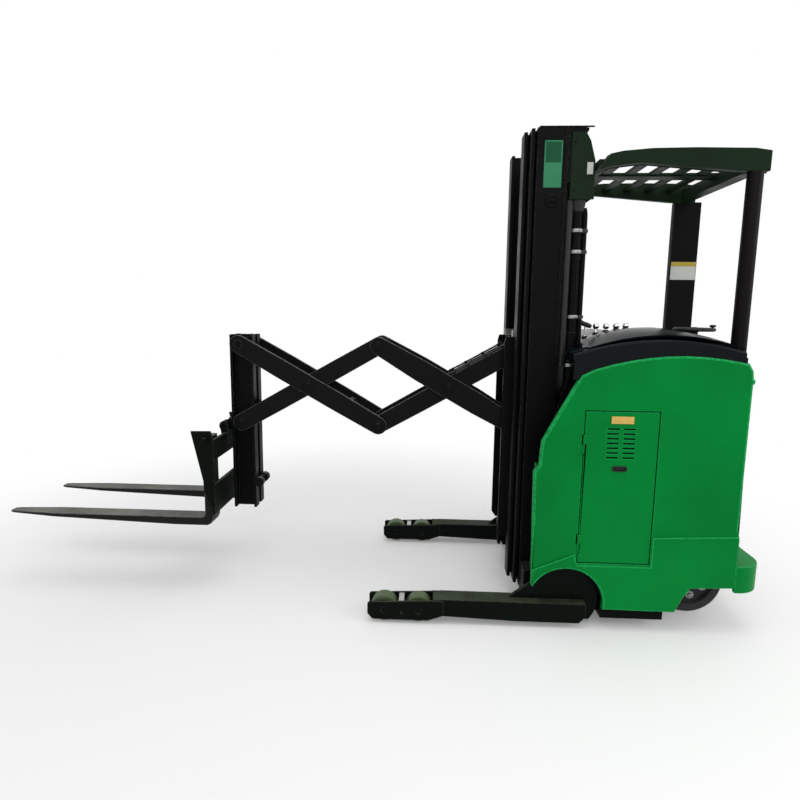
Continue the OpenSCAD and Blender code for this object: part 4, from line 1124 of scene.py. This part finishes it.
def pillar_plate():
    """Blank white plate with a yellow head on the broad right pillar."""
    low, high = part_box("guard_pillar_right")
    left, right = low.x + 0.005, high.x - 0.005
    bm = new_mesh()
    box(bm, (left, high.y - 0.001, 1.67), (right, high.y + 0.0015, 1.745))
    box(bm, (left, high.y - 0.0008, 1.7451), (right, high.y + 0.0016, 1.77), 1)
    for x in (low.x + 0.012, high.x - 0.012):
        for z in (1.678, 1.762):
            cap_screw(bm, Vector((x, high.y + 0.0015, z)), LEFT, 0.003, 0.0018)
    piece("pillar_blank_plate", bm, [WHITE_PLATE, YELLOW_PLATE])


# Camera, floor and light

SENSOR_MM = 36.0
FOCAL_PIXELS, PHOTO_PIXELS = 585.8, 800.0
CAMERA_PLACE = (-0.2742, 3.1595, 1.4769)


def photo_camera():
    """Camera found from the photograph: its place, turn, dip and roll."""
    yaw, dip, roll = 0.0494, 0.1514, 0.0113
    ahead = Vector((sin(yaw) * cos(dip), -cos(yaw) * cos(dip), -sin(dip)))
    right = Vector((-cos(yaw), -sin(yaw), 0))
    upward = right.cross(ahead)
    across = cos(roll) * right + sin(roll) * upward
    above = cos(roll) * upward - sin(roll) * right
    data = bpy.data.cameras.new("photo_camera")
    data.sensor_width = SENSOR_MM
    data.lens = SENSOR_MM * FOCAL_PIXELS / PHOTO_PIXELS
    data.clip_end = 100.0
    camera = bpy.data.objects.new("photo_camera", data)
    turn = Matrix((across, above, -ahead)).transposed().to_4x4()
    camera.matrix_world = Matrix.Translation(at(*CAMERA_PLACE)) @ turn
    scene.collection.objects.link(camera)
    scene.camera = camera


def soft_lamp(name, place, aim, size, power):
    data = bpy.data.lights.new(name, "AREA")
    data.shape = "RECTANGLE"
    data.size, data.size_y = size
    data.energy = power
    lamp = bpy.data.objects.new(name, data)
    lamp.location = place
    lamp.rotation_euler = (Vector(place) - Vector(aim)).to_track_quat("Z", "Y").to_euler()
    scene.collection.objects.link(lamp)


def floor_finish():
    """Pale floor that keeps the shadow and thins out to the white round the truck."""
    mat = moulding("studio_floor", (0.97, 0.97, 0.97), (0.96, 0.96, 0.96),
                   0.4, 30.0, (0.7, 0.8), 0.0)
    tree = mat.node_tree
    away = wired(tree, "VectorMath", {0: coords(tree)}, "Value", operation="LENGTH")
    plug(tree, tree.nodes["Principled BSDF"].inputs["Alpha"], ramp(tree, away, 1.2, 3.6, 0.85, 0.0))
    return mat


def studio_floor():
    mesh = bpy.data.meshes.new("studio_floor")
    reach = 6.0
    corners = [(-reach, -reach, 0), (reach, -reach, 0), (reach, reach, 0), (-reach, reach, 0)]
    mesh.from_pydata(corners, [], [(0, 1, 2, 3)])
    floor_obj = bpy.data.objects.new("studio_floor", mesh)
    scene.collection.objects.link(floor_obj)
    mesh.materials.append(floor_finish())


def studio_light():
    """White surroundings, brighter to the eye than as a lamp, and three soft lamps."""
    world = bpy.data.worlds.new("studio_world")
    world.use_nodes = True
    scene.world = world
    tree = world.node_tree
    backdrop = tree.nodes["Background"]
    rays = tree.nodes.new("ShaderNodeLightPath").outputs
    seen = maths(tree, "MAXIMUM", rays["Is Camera Ray"], rays["Is Glossy Ray"])
    seen = maths(tree, "MAXIMUM", seen, rays["Is Transmission Ray"])
    backdrop.inputs["Color"].default_value = (1, 1, 1, 1)
    plug(tree, backdrop.inputs["Strength"], ramp(tree, seen, 0.0, 1.0, 0.45, 1.0))
    soft_lamp("top_softbox", (-0.8, 0.4, 5.6), (-0.5, 0, 0.8), (5.0, 4.0), 135)
    soft_lamp("near_softbox", (-1.0, 5.4, 3.4), (-0.6, 0, 1.0), (5.0, 3.0), 62)
    soft_lamp("rear_softbox", (-5.2, 2.2, 3.0), (-1.2, 0, 1.0), (3.0, 3.0), 75)


body_panels()
service_doors()
blank_badge()
drive_kick_plate()
load_wheels()
drive_and_caster()
structure()
guard_roof()
console_shell()
console_band()
console_hood()
steering()
lever_row()
floor_mat()
leaf_chains()
mast_rails()
cover_fittings()
cylinder_fittings()
pivot_bolts()
arm_pipes()
carriage_blocks()
fork_head_fittings()
leg_bolts()
rocker_beams()
pillar_plate()
photo_camera()
studio_floor()
studio_light()
scene.view_settings.view_transform = "Standard"
